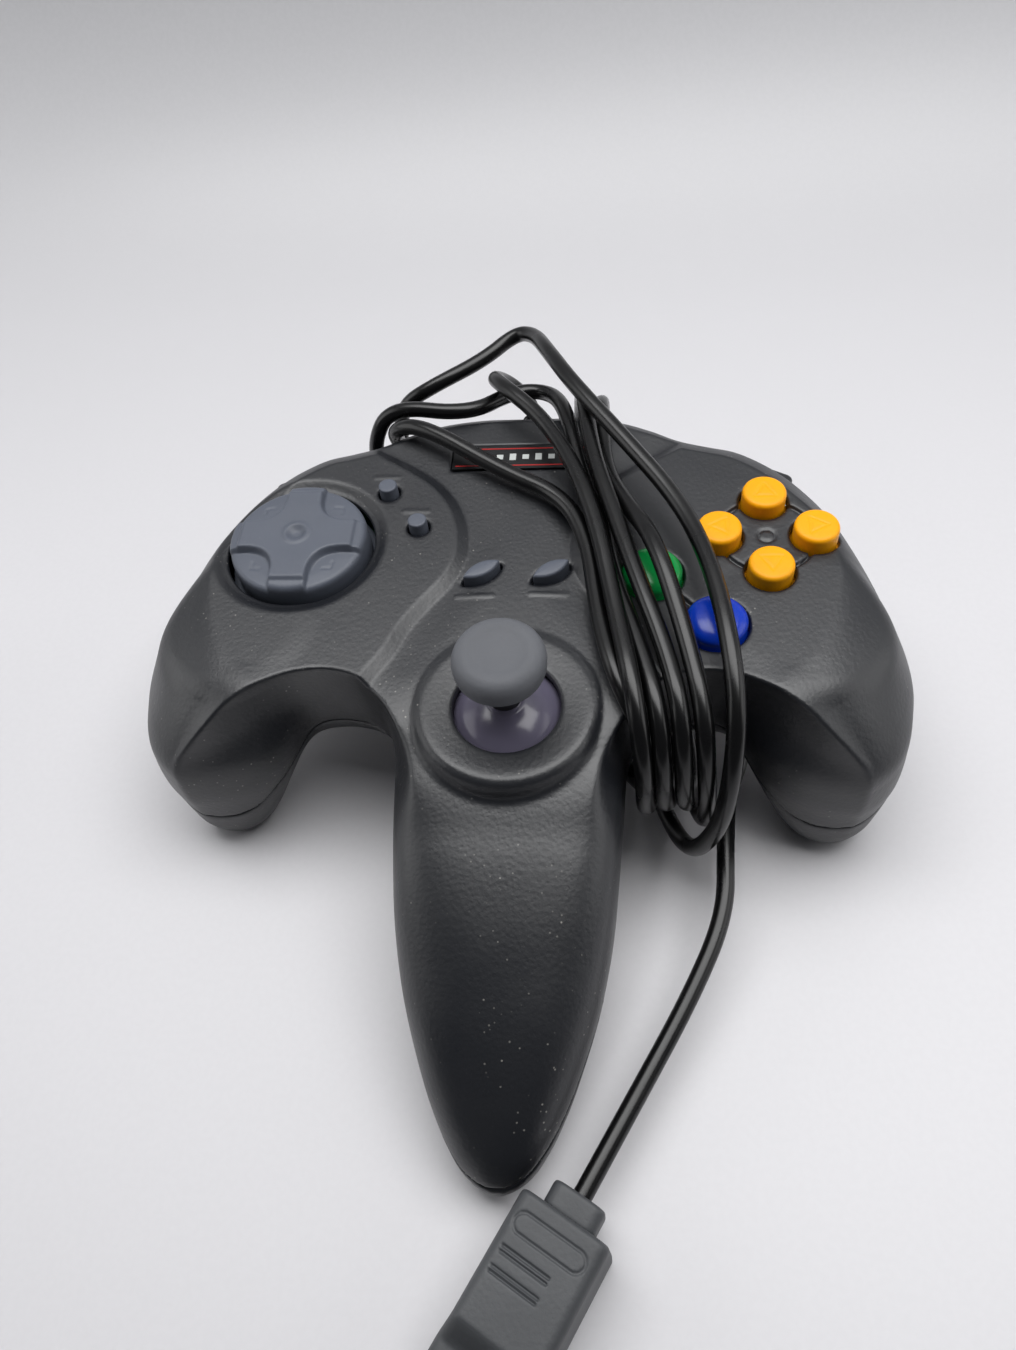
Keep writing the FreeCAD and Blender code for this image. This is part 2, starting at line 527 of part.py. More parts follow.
def smooth_tube(points):
    """Round tube along straight runs joined by tangent arcs. Returns solid, length, radii."""
    stops = [Vector(*p) for p in points]
    edges, radii = [], []
    start = stops[0]
    for before, corner, after in zip(stops, stops[1:], stops[2:]):
        run_in, run_out = corner - before, after - corner
        short = min(run_in.Length, run_out.Length)
        turn = run_in.getAngle(run_out)
        cut = 0.45 * short
        radii.append(cut / math.tan(turn / 2))
        a = corner - run_in * (cut / run_in.Length)
        b = corner + run_out * (cut / run_out.Length)
        bisector = (b - corner) * 0.5 + (a - corner) * 0.5
        rise = bisector.Length
        half_chord = (b - a).Length / 2
        radius = radii[-1]
        to_corner = math.hypot(half_chord, rise)
        apex = corner + bisector * ((math.hypot(radius, to_corner) - radius) / rise)
        edges.append(Part.LineSegment(start, a).toShape())
        edges.append(Part.Arc(a, apex, b).toShape())
        start = b
    edges.append(Part.LineSegment(start, stops[-1]).toShape())
    wire = Part.Wire(edges)
    aim = (stops[1] - stops[0]).normalize()
    ring = Part.Wire(Part.Circle(stops[0], aim, CORD_R).toShape())
    tube = wire.makePipeShell([ring], True, False)
    return tube, wire.Length, radii


# Route of the lead from the strain relief to the plug, chosen by hand: six passes over the top
# with five returns under the belly, then the tail to the plug.
LEAD_ROUTE = [
    # out of the strain relief and folded back over the rear edge, first pass
    (0, 90, 36), (0, 95.5, 36), (-6, 99, 41), (-9.5, 91, 49.5), (-5, 82, 53.4), (3, 73.5, 52.8),
    (10.8, 59, 53), (17, 39, 53.3), (20.8, 18, 51.8), (24.6, -3.5, 52.8), (26.6, -14.8, 42),
    (27, -14.6, 27), (28.5, -6, 16), (26, 10, 14.3), (8, 35, 14.3), (-12, 60, 14.3), (-27, 78, 15),
    (-31.5, 85, 25), (-33, 80.5, 38),
    # second pass, crossing from the left rear corner
    (-32.5, 76, 47), (-24, 72.5, 51), (-4, 58.5, 49), (9.5, 50.5, 49.3), (15.3, 37, 49.3),
    (17.4, 18, 49), (21.2, 1.5, 50.2), (26.2, -6.5, 45), (28, -8.5, 31), (27, -4.5, 17),
    (20.5, 7, 13.7), (4, 28, 14.3), (-18, 56, 14.3), (-34, 75, 15), (-39.3, 81.5, 25),
    # third pass, round the rear edge
    (-39.5, 79.5, 39), (-33.5, 82, 49), (-14, 77.5, 49.4), (-4.5, 91, 44.8), (5, 90, 45.2),
    (9.5, 76.5, 50.3), (12.6, 60, 49.2), (18.0, 42, 49.6), (20.3, 28, 49.4), (26, 8, 50.2),
    (29.2, -6, 50), (30, -14.2, 41), (31, -14, 27), (33, -4, 15.5), (31.5, 14, 14.3), (25, 40, 14.3),
    (16, 66, 14.3), (11.5, 86, 15), (11.8, 92, 26),
    # fourth pass, upper layer
    (12.2, 90.5, 42), (13.2, 80, 53.8), (15.6, 60, 53.2), (20.3, 42, 53.5), (25.3, 24, 53.4),
    (30.6, 7, 51.8), (33.2, -6, 50.8), (34, -14, 41), (34.9, -13.8, 27), (37.6, -4, 15.6),
    (36.5, 14, 14.3), (30.5, 40, 14.3), (22, 66, 14.3), (16.8, 85, 15.2), (17, 91.5, 27),
    # fifth pass, over the green button
    (17.4, 89.5, 42), (17.2, 79, 50.5), (18.2, 59, 49.2), (23.5, 45, 51.6), (28.8, 30.5, 57.2),
    (34.4, 10, 52.8), (37.4, -6, 51), (38.2, -13.6, 41), (39.4, -13.6, 27), (39.6, -10.5, 13),
    (35.5, 5, 9.6), (21, 27, 9.8), (-1, 51, 9.8), (-23, 72, 9.8), (-34.5, 88, 15), (-36, 92.5, 28),
    # sixth pass, standing clear of the rear edge in a kinked loop
    (-33.5, 92.5, 40), (-25, 92.8, 45.5), (-12.5, 100.5, 47), (-4.5, 107.5, 49.4), (0.5, 104, 51.6),
    (4.5, 92, 56), (11, 77, 58.4), (22, 61.5, 56.6), (34.5, 43, 54.4), (40, 24, 55.6), (42.4, 6, 55.6),
    (43.4, -7, 51), (42.8, -15.5, 40), (41.2, -18.5, 26), (36.5, -17, 11.5), (31, -2, 5.2),
    (27, 17, 4), (36, 32, 4), (49, 27, 5), (50, 11, 7.5), (45, -3, 12),
    # tail
    (43.8, -16, 13.5), (43.2, -30, 12.5), (36, -46, 10.5), (24.3, -66.5, 8.7), (15.46, -82.19, 8.7)]


def make_all():
    shell_top, shell_bottom = make_shells()
    save("top_shell", shell_top)
    save("bottom_shell", shell_bottom)
    save("main_board", make_board())
    pad_contacts = [(PAD_X + 10 * dx, PAD_Y + 10 * dy) for dx, dy in ((1, 0), (-1, 0), (0, 1), (0, -1))]
    save("left_rubber_sheet", rubber_sheet((-62, -29), (25, 52), pad_contacts, 3.2))
    save("small_rubber_sheet", rubber_sheet((-28.5, -16), (40.5, 60), [(-22.5, 44), (-25.5, 56)], 1.8))
    save("middle_rubber_sheet", rubber_sheet((-13, 13), (26, 37), LENS_BUTTONS.values(), 2.2))
    c_sheet = rubber_sheet((38.5, 65.8), (26.5, 53.5), c_spots().values(), 3.2)
    save("right_rubber_sheet", c_sheet.common(cyl(C_X, C_Y, BOARD_Z, C_RING + 5, 10)))
    green_pad = rubber_sheet((22.5, 34.5), (21, 36), [DOME_BUTTONS["green_button"]], 3.2)
    blue_pad = rubber_sheet((34.5, 48), (14, 25), [DOME_BUTTONS["blue_button"]], 3.0)
    save("dome_rubber_sheet", green_pad.fuse(blue_pad))

    c_top = LOBE_Z + 3.5
    for name, (x, y) in c_spots().items():
        save(name, round_button(x, y, C_R, c_top))
    for name, (x, y) in DOME_BUTTONS.items():
        save(name, round_button(x, y, DOME_R, c_top, domed=True))
    for name, (x, y) in SMALL_BUTTONS.items():
        save(name, round_button(x, y, SMALL_R, LOBE_Z + 2.5))
    for name, (x, y) in LENS_BUTTONS.items():
        stem = lens(x, y, BUTTON_FOOT, FACE_Z + 2.2 - BUTTON_FOOT)
        save(name, stem.fuse(lens(x, y, FLANGE_Z, FLANGE_T, 1.2)))
    save("direction_pad", make_pad())
    save("pad_pivot", cyl(PAD_X, PAD_Y, DOME_TOP + 0.3, PAD_PIVOT_R, PIVOT_BALL_TOP - DOME_TOP - 0.3))

    save("stick_housing", make_housing())
    save("gimbal_ring", make_ring())
    save("stick_bail", make_bail())
    save("stick_shaft", make_shaft())
    save("stick_skirt", make_skirt())
    save("stick_cap", make_cap())
    side = HOUSING_HALF + 0.1
    half, out = SENSOR_HALF, side + SENSOR_T
    save("x_sensor", block((-half, half), (STICK_Y + side, STICK_Y + out), SENSOR_Z))
    save("y_sensor", block((side, out), (STICK_Y - half, STICK_Y + half), SENSOR_Z))

    for side, name in ((-1, "left_shoulder_button"), (1, "right_shoulder_button")):
        save(name, shoulder_bar(side, 0))
    trigger = block(TRIGGER_X, TRIGGER_Y, TRIGGER_Z)
    trigger = trigger.makeFillet(2.5, [e for e in trigger.Edges if e.BoundBox.ZMax < TRIGGER_Z[0] + 0.1])
    trigger = trigger.fuse(cyl(TRIGGER_X[0], TRIGGER_Y[1], TRIGGER_HINGE_Z, TRIGGER_PIN_R,
                               TRIGGER_X[1] - TRIGGER_X[0], X_AXIS))
    save("under_trigger", trigger)
    save("port_connector", block((-15, 15), (PORT_Y[0], PORT_Y[0] + 3), (PORT_Z[0] + 2, PORT_Z[0] + 8)))
    relief = Part.makeCone(RELIEF_R, 2.7, RELIEF_L, Vector(0, RELIEF_Y, RELIEF_Z), Y_AXIS)
    grip = cyl(0, RELIEF_Y + 1, RELIEF_Z, RELIEF_GRIP_R, 2.2, Y_AXIS)
    save("strain_relief", relief.fuse(grip))
    save("label_plate", block((-LABEL_W / 2, LABEL_W / 2), (LABEL_Y - LABEL_D / 2, LABEL_Y + LABEL_D / 2),
                              (FACE_Z - LABEL_T, FACE_Z + 0.1)))
    screws = []
    for x, y in SCREW_SPOTS:
        seat = screw_seat(x, y)
        screws.append(cyl(x, y, seat - SCREW_HEAD_T, SCREW_HEAD_R, SCREW_HEAD_T).fuse(
            cyl(x, y, seat, SCREW_R, top_boss_foot(x, y) + 6 - seat)))
    save("case_screws", Part.makeCompound(screws))

    save("plug_body", make_plug())
    save("plug_boss", make_plug_boss())
    save("plug_contacts", make_contacts())
    lead, length, radii = smooth_tube(LEAD_ROUTE)
    save("lead", lead)
    print("lead length %.0f mm, volume over section x length %.4f" % (
        length, lead.Volume / (math.pi * CORD_R ** 2 * length)))
    print("radii", " ".join("%.1f" % r for r in radii))


make_all()
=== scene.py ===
import json
import math

import bpy
import numpy as np
from mathutils import Matrix, Vector


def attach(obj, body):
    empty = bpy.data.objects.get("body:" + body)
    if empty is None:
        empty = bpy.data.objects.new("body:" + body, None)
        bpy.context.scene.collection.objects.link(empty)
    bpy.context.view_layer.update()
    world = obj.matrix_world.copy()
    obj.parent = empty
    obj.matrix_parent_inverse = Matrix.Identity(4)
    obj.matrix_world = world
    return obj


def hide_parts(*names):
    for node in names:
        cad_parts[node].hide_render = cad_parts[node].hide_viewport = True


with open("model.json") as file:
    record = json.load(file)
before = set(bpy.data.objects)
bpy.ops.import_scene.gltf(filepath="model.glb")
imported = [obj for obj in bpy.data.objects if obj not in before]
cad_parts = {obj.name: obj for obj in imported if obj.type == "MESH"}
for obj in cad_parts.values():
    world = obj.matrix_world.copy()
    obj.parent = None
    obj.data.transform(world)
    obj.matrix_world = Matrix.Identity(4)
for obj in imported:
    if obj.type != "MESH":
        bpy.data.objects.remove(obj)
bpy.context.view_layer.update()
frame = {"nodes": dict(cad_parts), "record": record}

# Wired three-pronged game controller. Sizes below are millimetres in the frame's axes:
# +X is the player's right, +Y points away from the player, +Z is up and the feet stand on Z = 0.
MM = 0.001
# step of the grid that the case skins are taken from
CASE_STEP = 0.4
# points that a smooth curve has for each span between two given ones
CURVE_STEPS = 8

# ---------------------------------------------------------------- camera
CAMERA_AT = (22.1, -108.9, 210.9)
CAMERA_AZIMUTH, CAMERA_ELEVATION, CAMERA_ROLL = 11.04, 54.87, -8.89
CAMERA_LENS = 27.15


def add_camera():
    az, el, roll = (math.radians(a) for a in (CAMERA_AZIMUTH, CAMERA_ELEVATION, CAMERA_ROLL))
    back = Vector((math.sin(az) * math.cos(el), -math.cos(az) * math.cos(el), math.sin(el)))
    right = (-back).cross(Vector((0, 0, 1))).normalized()
    up = right.cross(-back)
    turned_right = right * math.cos(roll) + up * math.sin(roll)
    turned_up = up * math.cos(roll) - right * math.sin(roll)
    data = bpy.data.cameras.new("camera")
    data.lens = CAMERA_LENS
    data.sensor_width = 36.0
    data.clip_start = 0.01
    camera = bpy.data.objects.new("camera", data)
    camera.matrix_world = Matrix((turned_right, turned_up, back)).transposed().to_4x4()
    camera.location = Vector(CAMERA_AT) * MM
    bpy.context.scene.collection.objects.link(camera)
    bpy.context.scene.camera = camera


# ---------------------------------------------------------------- materials
def srgb(red, green, blue):
    """Colour that a display shows as these 0-255 levels, as linear light."""
    levels = [c / 255 for c in (red, green, blue)]
    return tuple(c / 12.92 if c <= 0.04045 else ((c + 0.055) / 1.055) ** 2.4 for c in levels) + (1.0,)


def darker(colour, share):
    return tuple(share * c for c in colour[:3]) + (1.0,)


class Nodes:
    """Short way to write a material's node tree."""

    def __init__(self, name):
        self.material = bpy.data.materials.new(name)
        self.material.use_nodes = True
        self.tree = self.material.node_tree
        self.shader = self.tree.nodes["Principled BSDF"]
        self.place = self.add("ShaderNodeTexCoord").outputs["Object"]

    def add(self, kind, **inputs):
        node = self.tree.nodes.new(kind)
        for name, value in inputs.items():
            self.feed(node.inputs[name.replace("_", " ")], value)
        return node

    def feed(self, socket, value):
        if isinstance(value, bpy.types.NodeSocket):
            self.tree.links.new(value, socket)
        else:
            socket.default_value = value

    def set(self, **inputs):
        for name, value in inputs.items():
            self.feed(self.shader.inputs[name.replace("_", " ")], value)

    def noise(self, scale, detail=2.0, rough=0.5):
        node = self.add("ShaderNodeTexNoise", Scale=scale, Detail=detail, Roughness=rough)
        self.feed(node.inputs["Vector"], self.place)
        return node.outputs["Fac"]

    def cells(self, scale, feature="F1"):
        node = self.add("ShaderNodeTexVoronoi", Scale=scale)
        node.feature = feature
        self.feed(node.inputs["Vector"], self.place)
        return node.outputs["Distance"]

    def span(self, value, low, high, to_low, to_high):
        node = self.add("ShaderNodeMapRange")
        for socket, given in zip(node.inputs, (value, low, high, to_low, to_high)):
            self.feed(socket, given)
        return node.outputs["Result"]

    def math(self, operation, a, b):
        node = self.add("ShaderNodeMath")
        node.operation = operation
        self.feed(node.inputs[0], a)
        self.feed(node.inputs[1], b)
        return node.outputs[0]

    def mix(self, share, a, b):
        node = self.add("ShaderNodeMix")
        node.data_type = "RGBA"
        self.feed(node.inputs["Factor"], share)
        for name, value in (("A_Color", a), ("B_Color", b)):
            socket = next(s for s in node.inputs if s.identifier == name)
            self.feed(socket, value)
        return next(s for s in node.outputs if s.identifier == "Result_Color")

    def bump(self, *layers):
        """Stacked bumps from (height, distance in metres) pairs."""
        last = None
        for height, distance in layers:
            node = self.add("ShaderNodeBump", Distance=distance, Height=height)
            if last:
                self.feed(node.inputs["Normal"], last)
            last = node.outputs["Normal"]
        self.set(Normal=last)


def moulded(name, colour, rough, grain=0.00004, grain_scale=2600.0, dust=0.0, specular=0.5):
    """Injection-moulded plastic: fine grain, slight unevenness and specks of dust."""
    n = Nodes(name)
    patches = n.noise(90.0, 3.0)
    finish = n.mix(n.span(patches, 0.35, 0.65, 0.0, 0.35), colour, darker(colour, 0.8))
    if dust:
        speck = n.span(n.cells(560.0), 0.06, 0.13, 1.0, 0.0)
        where = n.span(n.noise(38.0, 4.0, 0.7), 0.47, 0.7, 0.0, dust)
        finish = n.mix(n.math("MULTIPLY", speck, where), finish, srgb(175, 172, 165))
    n.set(Base_Color=finish, Roughness=n.span(patches, 0.3, 0.7, rough - 0.03, rough + 0.04),
          Specular_IOR_Level=specular)
    n.bump((n.cells(grain_scale * 0.45, "SMOOTH_F1"), grain), (n.noise(grain_scale, 2.0), grain * 0.5))
    return n.material


def plain(name, colour, rough, metallic=0.0, scale=400.0, relief=0.00002):
    """Smooth or metal finish with faint unevenness."""
    n = Nodes(name)
    uneven = n.noise(scale, 3.0)
    n.set(Base_Color=n.mix(n.span(uneven, 0.3, 0.7, 0.0, 0.3), colour, darker(colour, 0.75)),
          Roughness=n.span(uneven, 0.3, 0.7, rough - 0.04, rough + 0.05), Metallic=metallic,
          Specular_IOR_Level=0.5)
    n.bump((uneven, relief))
    return n.material


MATERIALS = {
    "shell_plastic": moulded("shell_plastic", srgb(22, 24, 29), 0.4, dust=0.8, specular=0.8),
    "blue_grey_plastic": moulded("blue_grey_plastic", srgb(86, 91, 102), 0.46, grain=0.00002, dust=0.3),
    "yellow_plastic": moulded("yellow_plastic", srgb(255, 172, 0), 0.45, grain=0.00001,
                              grain_scale=1500.0, specular=0.3),
    "green_plastic": moulded("green_plastic", srgb(14, 150, 70), 0.24, grain=0.000005, grain_scale=900.0),
    "blue_plastic": moulded("blue_plastic", srgb(6, 56, 184), 0.22, grain=0.000005, grain_scale=900.0),
    "cap_rubber": moulded("cap_rubber", srgb(94, 96, 101), 0.66, grain=0.00003, grain_scale=3200.0),
    "skirt_plastic": moulded("skirt_plastic", srgb(98, 94, 112), 0.2, grain=0.000004, grain_scale=900.0),
    "contact_rubber": plain("contact_rubber", srgb(60, 62, 64), 0.6),
    "board": plain("board", srgb(26, 84, 50), 0.45),
    "inner_plastic": plain("inner_plastic", srgb(38, 39, 42), 0.5),
    "white_plastic": plain("white_plastic", srgb(214, 214, 208), 0.45),
    "contact_metal": plain("contact_metal", srgb(214, 186, 120), 0.28, metallic=1.0),
    "screw_steel": plain("screw_steel", srgb(150, 152, 156), 0.35, metallic=1.0),
    "label_film": plain("label_film", srgb(14, 14, 16), 0.35),
    "lead_pvc": plain("lead_pvc", srgb(9, 9, 10), 0.27, scale=60.0, relief=0.00001),
    "plug_plastic": moulded("plug_plastic", srgb(68, 70, 73), 0.5, grain=0.00003, grain_scale=3000.0),
}


# ---------------------------------------------------------------- solid fields
# A field holds, at every point of a grid, the distance in millimetres to a surface, negative inside.
def both(a, b, radius):
    """Where two solids overlap, with the edge between them rounded."""
    near = np.maximum(radius - np.abs(a - b), 0.0)
    return np.maximum(a, b) + near * near * (0.25 / radius)


def either(a, b, radius):
    """Two solids joined, with a fillet between them."""
    near = np.maximum(radius - np.abs(a - b), 0.0)
    return np.minimum(a, b) - near * near * (0.25 / radius)


def smooth_curve(points, steps=CURVE_STEPS):
    """Points along a smooth open curve through the given ones."""
    p = np.array(points, float)
    p = np.vstack([2 * p[0] - p[1], p, 2 * p[-1] - p[-2]])
    gap = np.linalg.norm(np.diff(p, axis=0), axis=1)
    t = np.linspace(0, 1, steps, endpoint=False)[:, None]
    curve = []
    for k in range(1, len(p) - 2):
        before, here, after = gap[k - 1:k + 2]
        slopes = [(p[k + j] - p[k + j - 1]) / gap[k + j - 1] for j in (0, 1, 2)]
        start = (slopes[0] * here + slopes[1] * before) / (here + before) * here
        end = (slopes[1] * after + slopes[2] * here) / (here + after) * here
        curve.append((2 * t ** 3 - 3 * t ** 2 + 1) * p[k] + (t ** 3 - 2 * t ** 2 + t) * start
                     + (3 * t ** 2 - 2 * t ** 3) * p[k + 1] + (t ** 3 - t ** 2) * end)
    return np.vstack(curve + [p[-2:-1]])


def read_table(rows, column, at):
    """Smooth look-up of one column by the first, which rises."""
    curve = smooth_curve([(row[0], row[column]) for row in rows])
    return np.interp(at, curve[:, 0], curve[:, 1]).astype(np.float32)


def depth_inside(loop, x, y):
    """Distance in from a closed outline, negative outside it."""
    loop = np.asarray(loop, np.float32)
    shape = np.broadcast(x, y).shape
    nearest = np.full(shape, 1e9, np.float32)
    inside = np.zeros(shape, bool)
    for (ax, ay), (bx, by) in zip(loop, np.roll(loop, -1, axis=0)):
        ex, ey = bx - ax, by - ay
        if ex == 0 and ey == 0:
            continue
        t = np.clip(((x - ax) * ex + (y - ay) * ey) / (ex * ex + ey * ey), 0, 1)
        nearest = np.minimum(nearest, (x - ax - t * ex) ** 2 + (y - ay - t * ey) ** 2)
        if ey != 0:
            inside ^= ((ay > y) != (by > y)) & (x < ax + ex * (y - ay) / ey)
    return np.where(inside, 1, -1).astype(np.float32) * np.sqrt(nearest)


def line_distance(x, y, start, end):
    """Distance to a straight line from start to end."""
    ex, ey = end[0] - start[0], end[1] - start[1]
    t = np.clip(((x - start[0]) * ex + (y - start[1]) * ey) / (ex * ex + ey * ey), 0, 1)
    return np.hypot(x - start[0] - t * ex, y - start[1] - t * ey)


def ramp(value, start, end):
    """0 before start, 1 after end, with soft ends."""
    t = np.clip((value - start) / (end - start), 0, 1)
    return t * t * (3 - 2 * t)


def grid_lines(*spans):
    """Places of grid lines from (start, end, step) spans that follow each other."""
    places = [np.arange(start, end - 1e-6, step) for start, end, step in spans]
    return np.append(np.concatenate(places), spans[-1][1]).astype(np.float32)


class Grid:
    """Places where a field is worked out, as three rows of coordinates."""

    def __init__(self, xs, ys, zs):
        self.lines = (xs, ys, zs)
        self.x, self.y, self.z = xs[:, None, None], ys[None, :, None], zs[None, None, :]

    def true_distance(self, field):
        """The same surface, with values close to real distances."""
        slopes = np.gradient(field, *self.lines)
        steepness = np.sqrt(sum(s * s for s in slopes))
        return field / np.maximum(steepness, 0.35)

    def box(self, x, y, z, radius=0.5):
        sides = [np.abs(place - (low + high) / 2) - (high - low) / 2
                 for place, (low, high) in ((self.x, x), (self.y, y), (self.z, z))]
        return both(both(sides[0], sides[1], radius), sides[2], radius)

    def surface(self, name, field):
        """Mesh of the field's zero surface, one vertex for each cell that it passes through."""
        field = np.ascontiguousarray(np.broadcast_to(field, [len(row) for row in self.lines]), np.float32)
        inside = field < 0
        cells = [n - 1 for n in field.shape]
        corners = np.zeros(cells, np.uint8)
        for i, j, k in np.ndindex(2, 2, 2):
            corners += inside[i:cells[0] + i, j:cells[1] + j, k:cells[2] + k]
        cell = np.array(np.nonzero((corners > 0) & (corners < 8)))
        place, hits = np.zeros((3, cell.shape[1])), np.zeros(cell.shape[1])
        for axis in range(3):
            for u, v in np.ndindex(2, 2):
                start = cell.copy()
                start[(axis + 1) % 3] += u
                start[(axis + 2) % 3] += v
                end = start.copy()
                end[axis] += 1
                f0, f1 = field[tuple(start)], field[tuple(end)]
                crossed = (f0 < 0) != (f1 < 0)
                share = np.where(crossed, f0 / np.where(crossed, f0 - f1, 1), 0)
                for a in range(3):
                    low, high = self.lines[a][start[a]], self.lines[a][end[a]]
                    place[a] += crossed * (low + (high - low) * share)
                hits += crossed
        place /= hits
        place = self.settled(field, cell, place)

        number = np.full(cells, -1, np.int32)
        number[tuple(cell)] = np.arange(cell.shape[1])
        quads = []
        for axis in range(3):
            keep = [slice(1, n - 1) for n in field.shape]
            first, second = list(keep), list(keep)
            first[axis], second[axis] = slice(0, field.shape[axis] - 1), slice(1, field.shape[axis])
            from_inside = inside[tuple(first)]
            crossing = from_inside != inside[tuple(second)]
            edge = np.array(np.nonzero(crossing))
            facing = from_inside[tuple(edge)]
            for a in range(3):
                edge[a] += 0 if a == axis else 1
            around = []
            for u, v in ((1, 1), (0, 1), (0, 0), (1, 0)):
                neighbour = edge.copy()
                neighbour[(axis + 1) % 3] -= u
                neighbour[(axis + 2) % 3] -= v
                around.append(number[tuple(neighbour)])
            quad = np.array(around).T
            quads.append(np.where(facing[:, None], quad, quad[:, ::-1]))
        return mesh_object(name, place.T * MM, np.vstack(quads))

    def settled(self, field, cell, place):
        """Vertices moved on to the surface along the field's slope in their own cell."""
        low = np.array([self.lines[a][cell[a]] for a in range(3)])
        size = np.array([self.lines[a][cell[a] + 1] for a in range(3)]) - low
        corner = {c: field[cell[0] + c[0], cell[1] + c[1], cell[2] + c[2]] for c in np.ndindex(2, 2, 2)}
        for _ in range(2):
            t = (place - low) / size
            value, slope = 0.0, np.zeros_like(place)
            for c, f in corner.items():
                w = [t[a] if c[a] else 1 - t[a] for a in range(3)]
                value = value + f * w[0] * w[1] * w[2]
                for a in range(3):
                    slope[a] += f * (1 if c[a] else -1) * w[(a + 1) % 3] * w[(a + 2) % 3] / size[a]
            step = value / np.maximum((slope ** 2).sum(0), 0.05) * slope
            place = np.clip(place - step, low, low + size)
        return place


def mesh_object(name, points, quads):
    mesh = bpy.data.meshes.new(name)
    mesh.vertices.add(len(points))
    mesh.vertices.foreach_set("co", np.asarray(points, np.float32).ravel())
    mesh.loops.add(quads.size)
    mesh.loops.foreach_set("vertex_index", quads.ravel().astype(np.int32))
    mesh.polygons.add(len(quads))
    mesh.polygons.foreach_set("loop_start", np.arange(0, quads.size, 4, dtype=np.int32))
    mesh.polygons.foreach_set("use_smooth", np.ones(len(quads), bool))
    mesh.update(calc_edges=True)
    thing = bpy.data.objects.new(name, mesh)
    bpy.context.scene.collection.objects.link(thing)
    return thing


def finish_piece(thing, slot, body, node):
    """Gives a piece its material and body, and lets it stand for its CAD node."""
    thing.data.materials.clear()
    thing.data.materials.append(MATERIALS[slot])
    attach(thing, body)
    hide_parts(node)
    return thing


# ---------------------------------------------------------------- outer form of the case
FACE_Z, LOBE_Z, BELLY_Z = 46.0, 47.0, 17.0
WALL, SEAM_GAP = 2.0, 0.12
# right half of the plan, from the middle of the rear edge to the middle of the front
OUTER_EDGE = [(0, 85.6), (12, 85.4), (23, 83.3), (31, 79.8), (37, 76.4), (43, 74.4), (49, 72.6), (55, 69),
              (61, 63.8), (66.5, 57.5), (71.5, 50.5), (75.8, 42), (79.5, 31), (81.4, 19), (80.5, 8),
              (77, -1.5), (70, -9.5), (58, -15), (40, -26), (20, -33), (0, -34)]
# the crown of the face is measured from the same edge without its last spans, as it has no rim at the prong
EDGE_SPANS_AT_PRONG = 4
CROWN_EDGE_END = [(60, -30), (40, -60), (0, -60)]
# bay between the lobe and the prong, and the shallow band that parts the lobe from the middle
NOTCH_EDGE = [(90, -23), (78, -14), (68.5, -9.2), (62, -5.5), (56.5, -1.5), (50.5, 2.3), (44, 4.9), (37, 5.6),
              (31, 4), (26, 0), (22.2, -5.5), (19, -13), (17.5, -26)]
VALLEY_EDGE = [(52, 84), (40, 70.5), (32.5, 65.4), (26.5, 61.3), (20.9, 56.6), (16.6, 50.6), (14, 43),
               (14.1, 34.3), (16.2, 29.3), (19.8, 23.9), (23.4, 18), (26.5, 10.4), (30.3, 3.7), (33, -6)]
VALLEY_BAND, VALLEY_DROP = 2.6, 1.5
# height, how far the side wall and the notch wall are drawn in there
WALL_LEVELS = [(10, 18, 9), (17, 9, 5), (21, 4, 2.5), (27, 0.8, 1.0), (31, 0, 0.6), (34.5, 1.0, 0.4),
               (37.5, 1.8, 0.3), (40.5, 2.6, 0.2), (44, 3.4, 0.1), (47, 4.0, 0.1), (50, 4.5, 0.1)]
# y, width of the crowned border, height of its rim, how abruptly it starts
CROWN = [(-60, 21.0, 34.5, 0.1), (2, 22.0, 34.5, 0.1), (13, 20.0, 34.5, 0.1), (20, 17.0, 34.5, 0.15),
         (30, 12.5, 34.5, 0.3), (42, 9.5, 36.0, 0.5), (55, 9.0, 40.5, 0.6), (90, 9.5, 42.5, 0.6)]
RIM_IN = 1.8
# height, x and y of a leg's middle, half its width, half its depth
LEG_LEVELS = [(-1, 66.8, -1.9, 2.5, 2.3), (0, 66.8, -1.9, 4.9, 4.5), (1.8, 66.7, -1.6, 7.7, 7.1),
              (6, 66.3, -0.8, 10.3, 9.7), (12, 65.5, 0.9, 12.8, 12), (18, 64.5, 3.6, 14.8, 14.1),
              (24, 63.5, 6.6, 15.8, 15.7), (30, 62.7, 9.8, 15.6, 16.2), (36, 62, 14.5, 15, 15),
              (44, 61, 18, 14, 13)]
# y, half width, top and bottom of the prong
PRONG_STATIONS = [(-82.5, 0.9, 8.5, 6.3), (-82.1, 2.1, 10.0, 4.8), (-81.3, 3.7, 11.8, 3.3),
                  (-79.5, 6.1, 14.4, 1.6), (-75, 9.5, 18.6, 0.4), (-69, 12.6, 22.8, 0.8),
                  (-61, 15.7, 27.5, 2.4), (-51, 18.8, 32.2, 4.7), (-40, 20.9, 36.6, 7.6),
                  (-28, 22.0, 40.2, 10.2), (-16, 22.8, 42.2, 12.4), (-4, 23.5, 43.0, 14.2),
                  (8, 24.0, 42.8, 15.6), (20, 24.5, 42.5, 16.5)]
PRONG_TIP, PRONG_BACK = PRONG_STATIONS[0][0], PRONG_STATIONS[-1][0]
# y and height of the line where the shells meet, in the middle and at the sides
MIDDLE_SEAM = [(-130, -1), (-50, 17), (-22, 23.5), (5, 26), (60, 26), (130, 26)]
SIDE_SEAM = [(-130, 13), (-40, 13), (-12, 13), (-8.5, 14.8), (-6, 17.5), (-1.4, 21), (2.4, 23.8), (6, 25.5),
             (10, 26), (60, 26), (130, 26)]

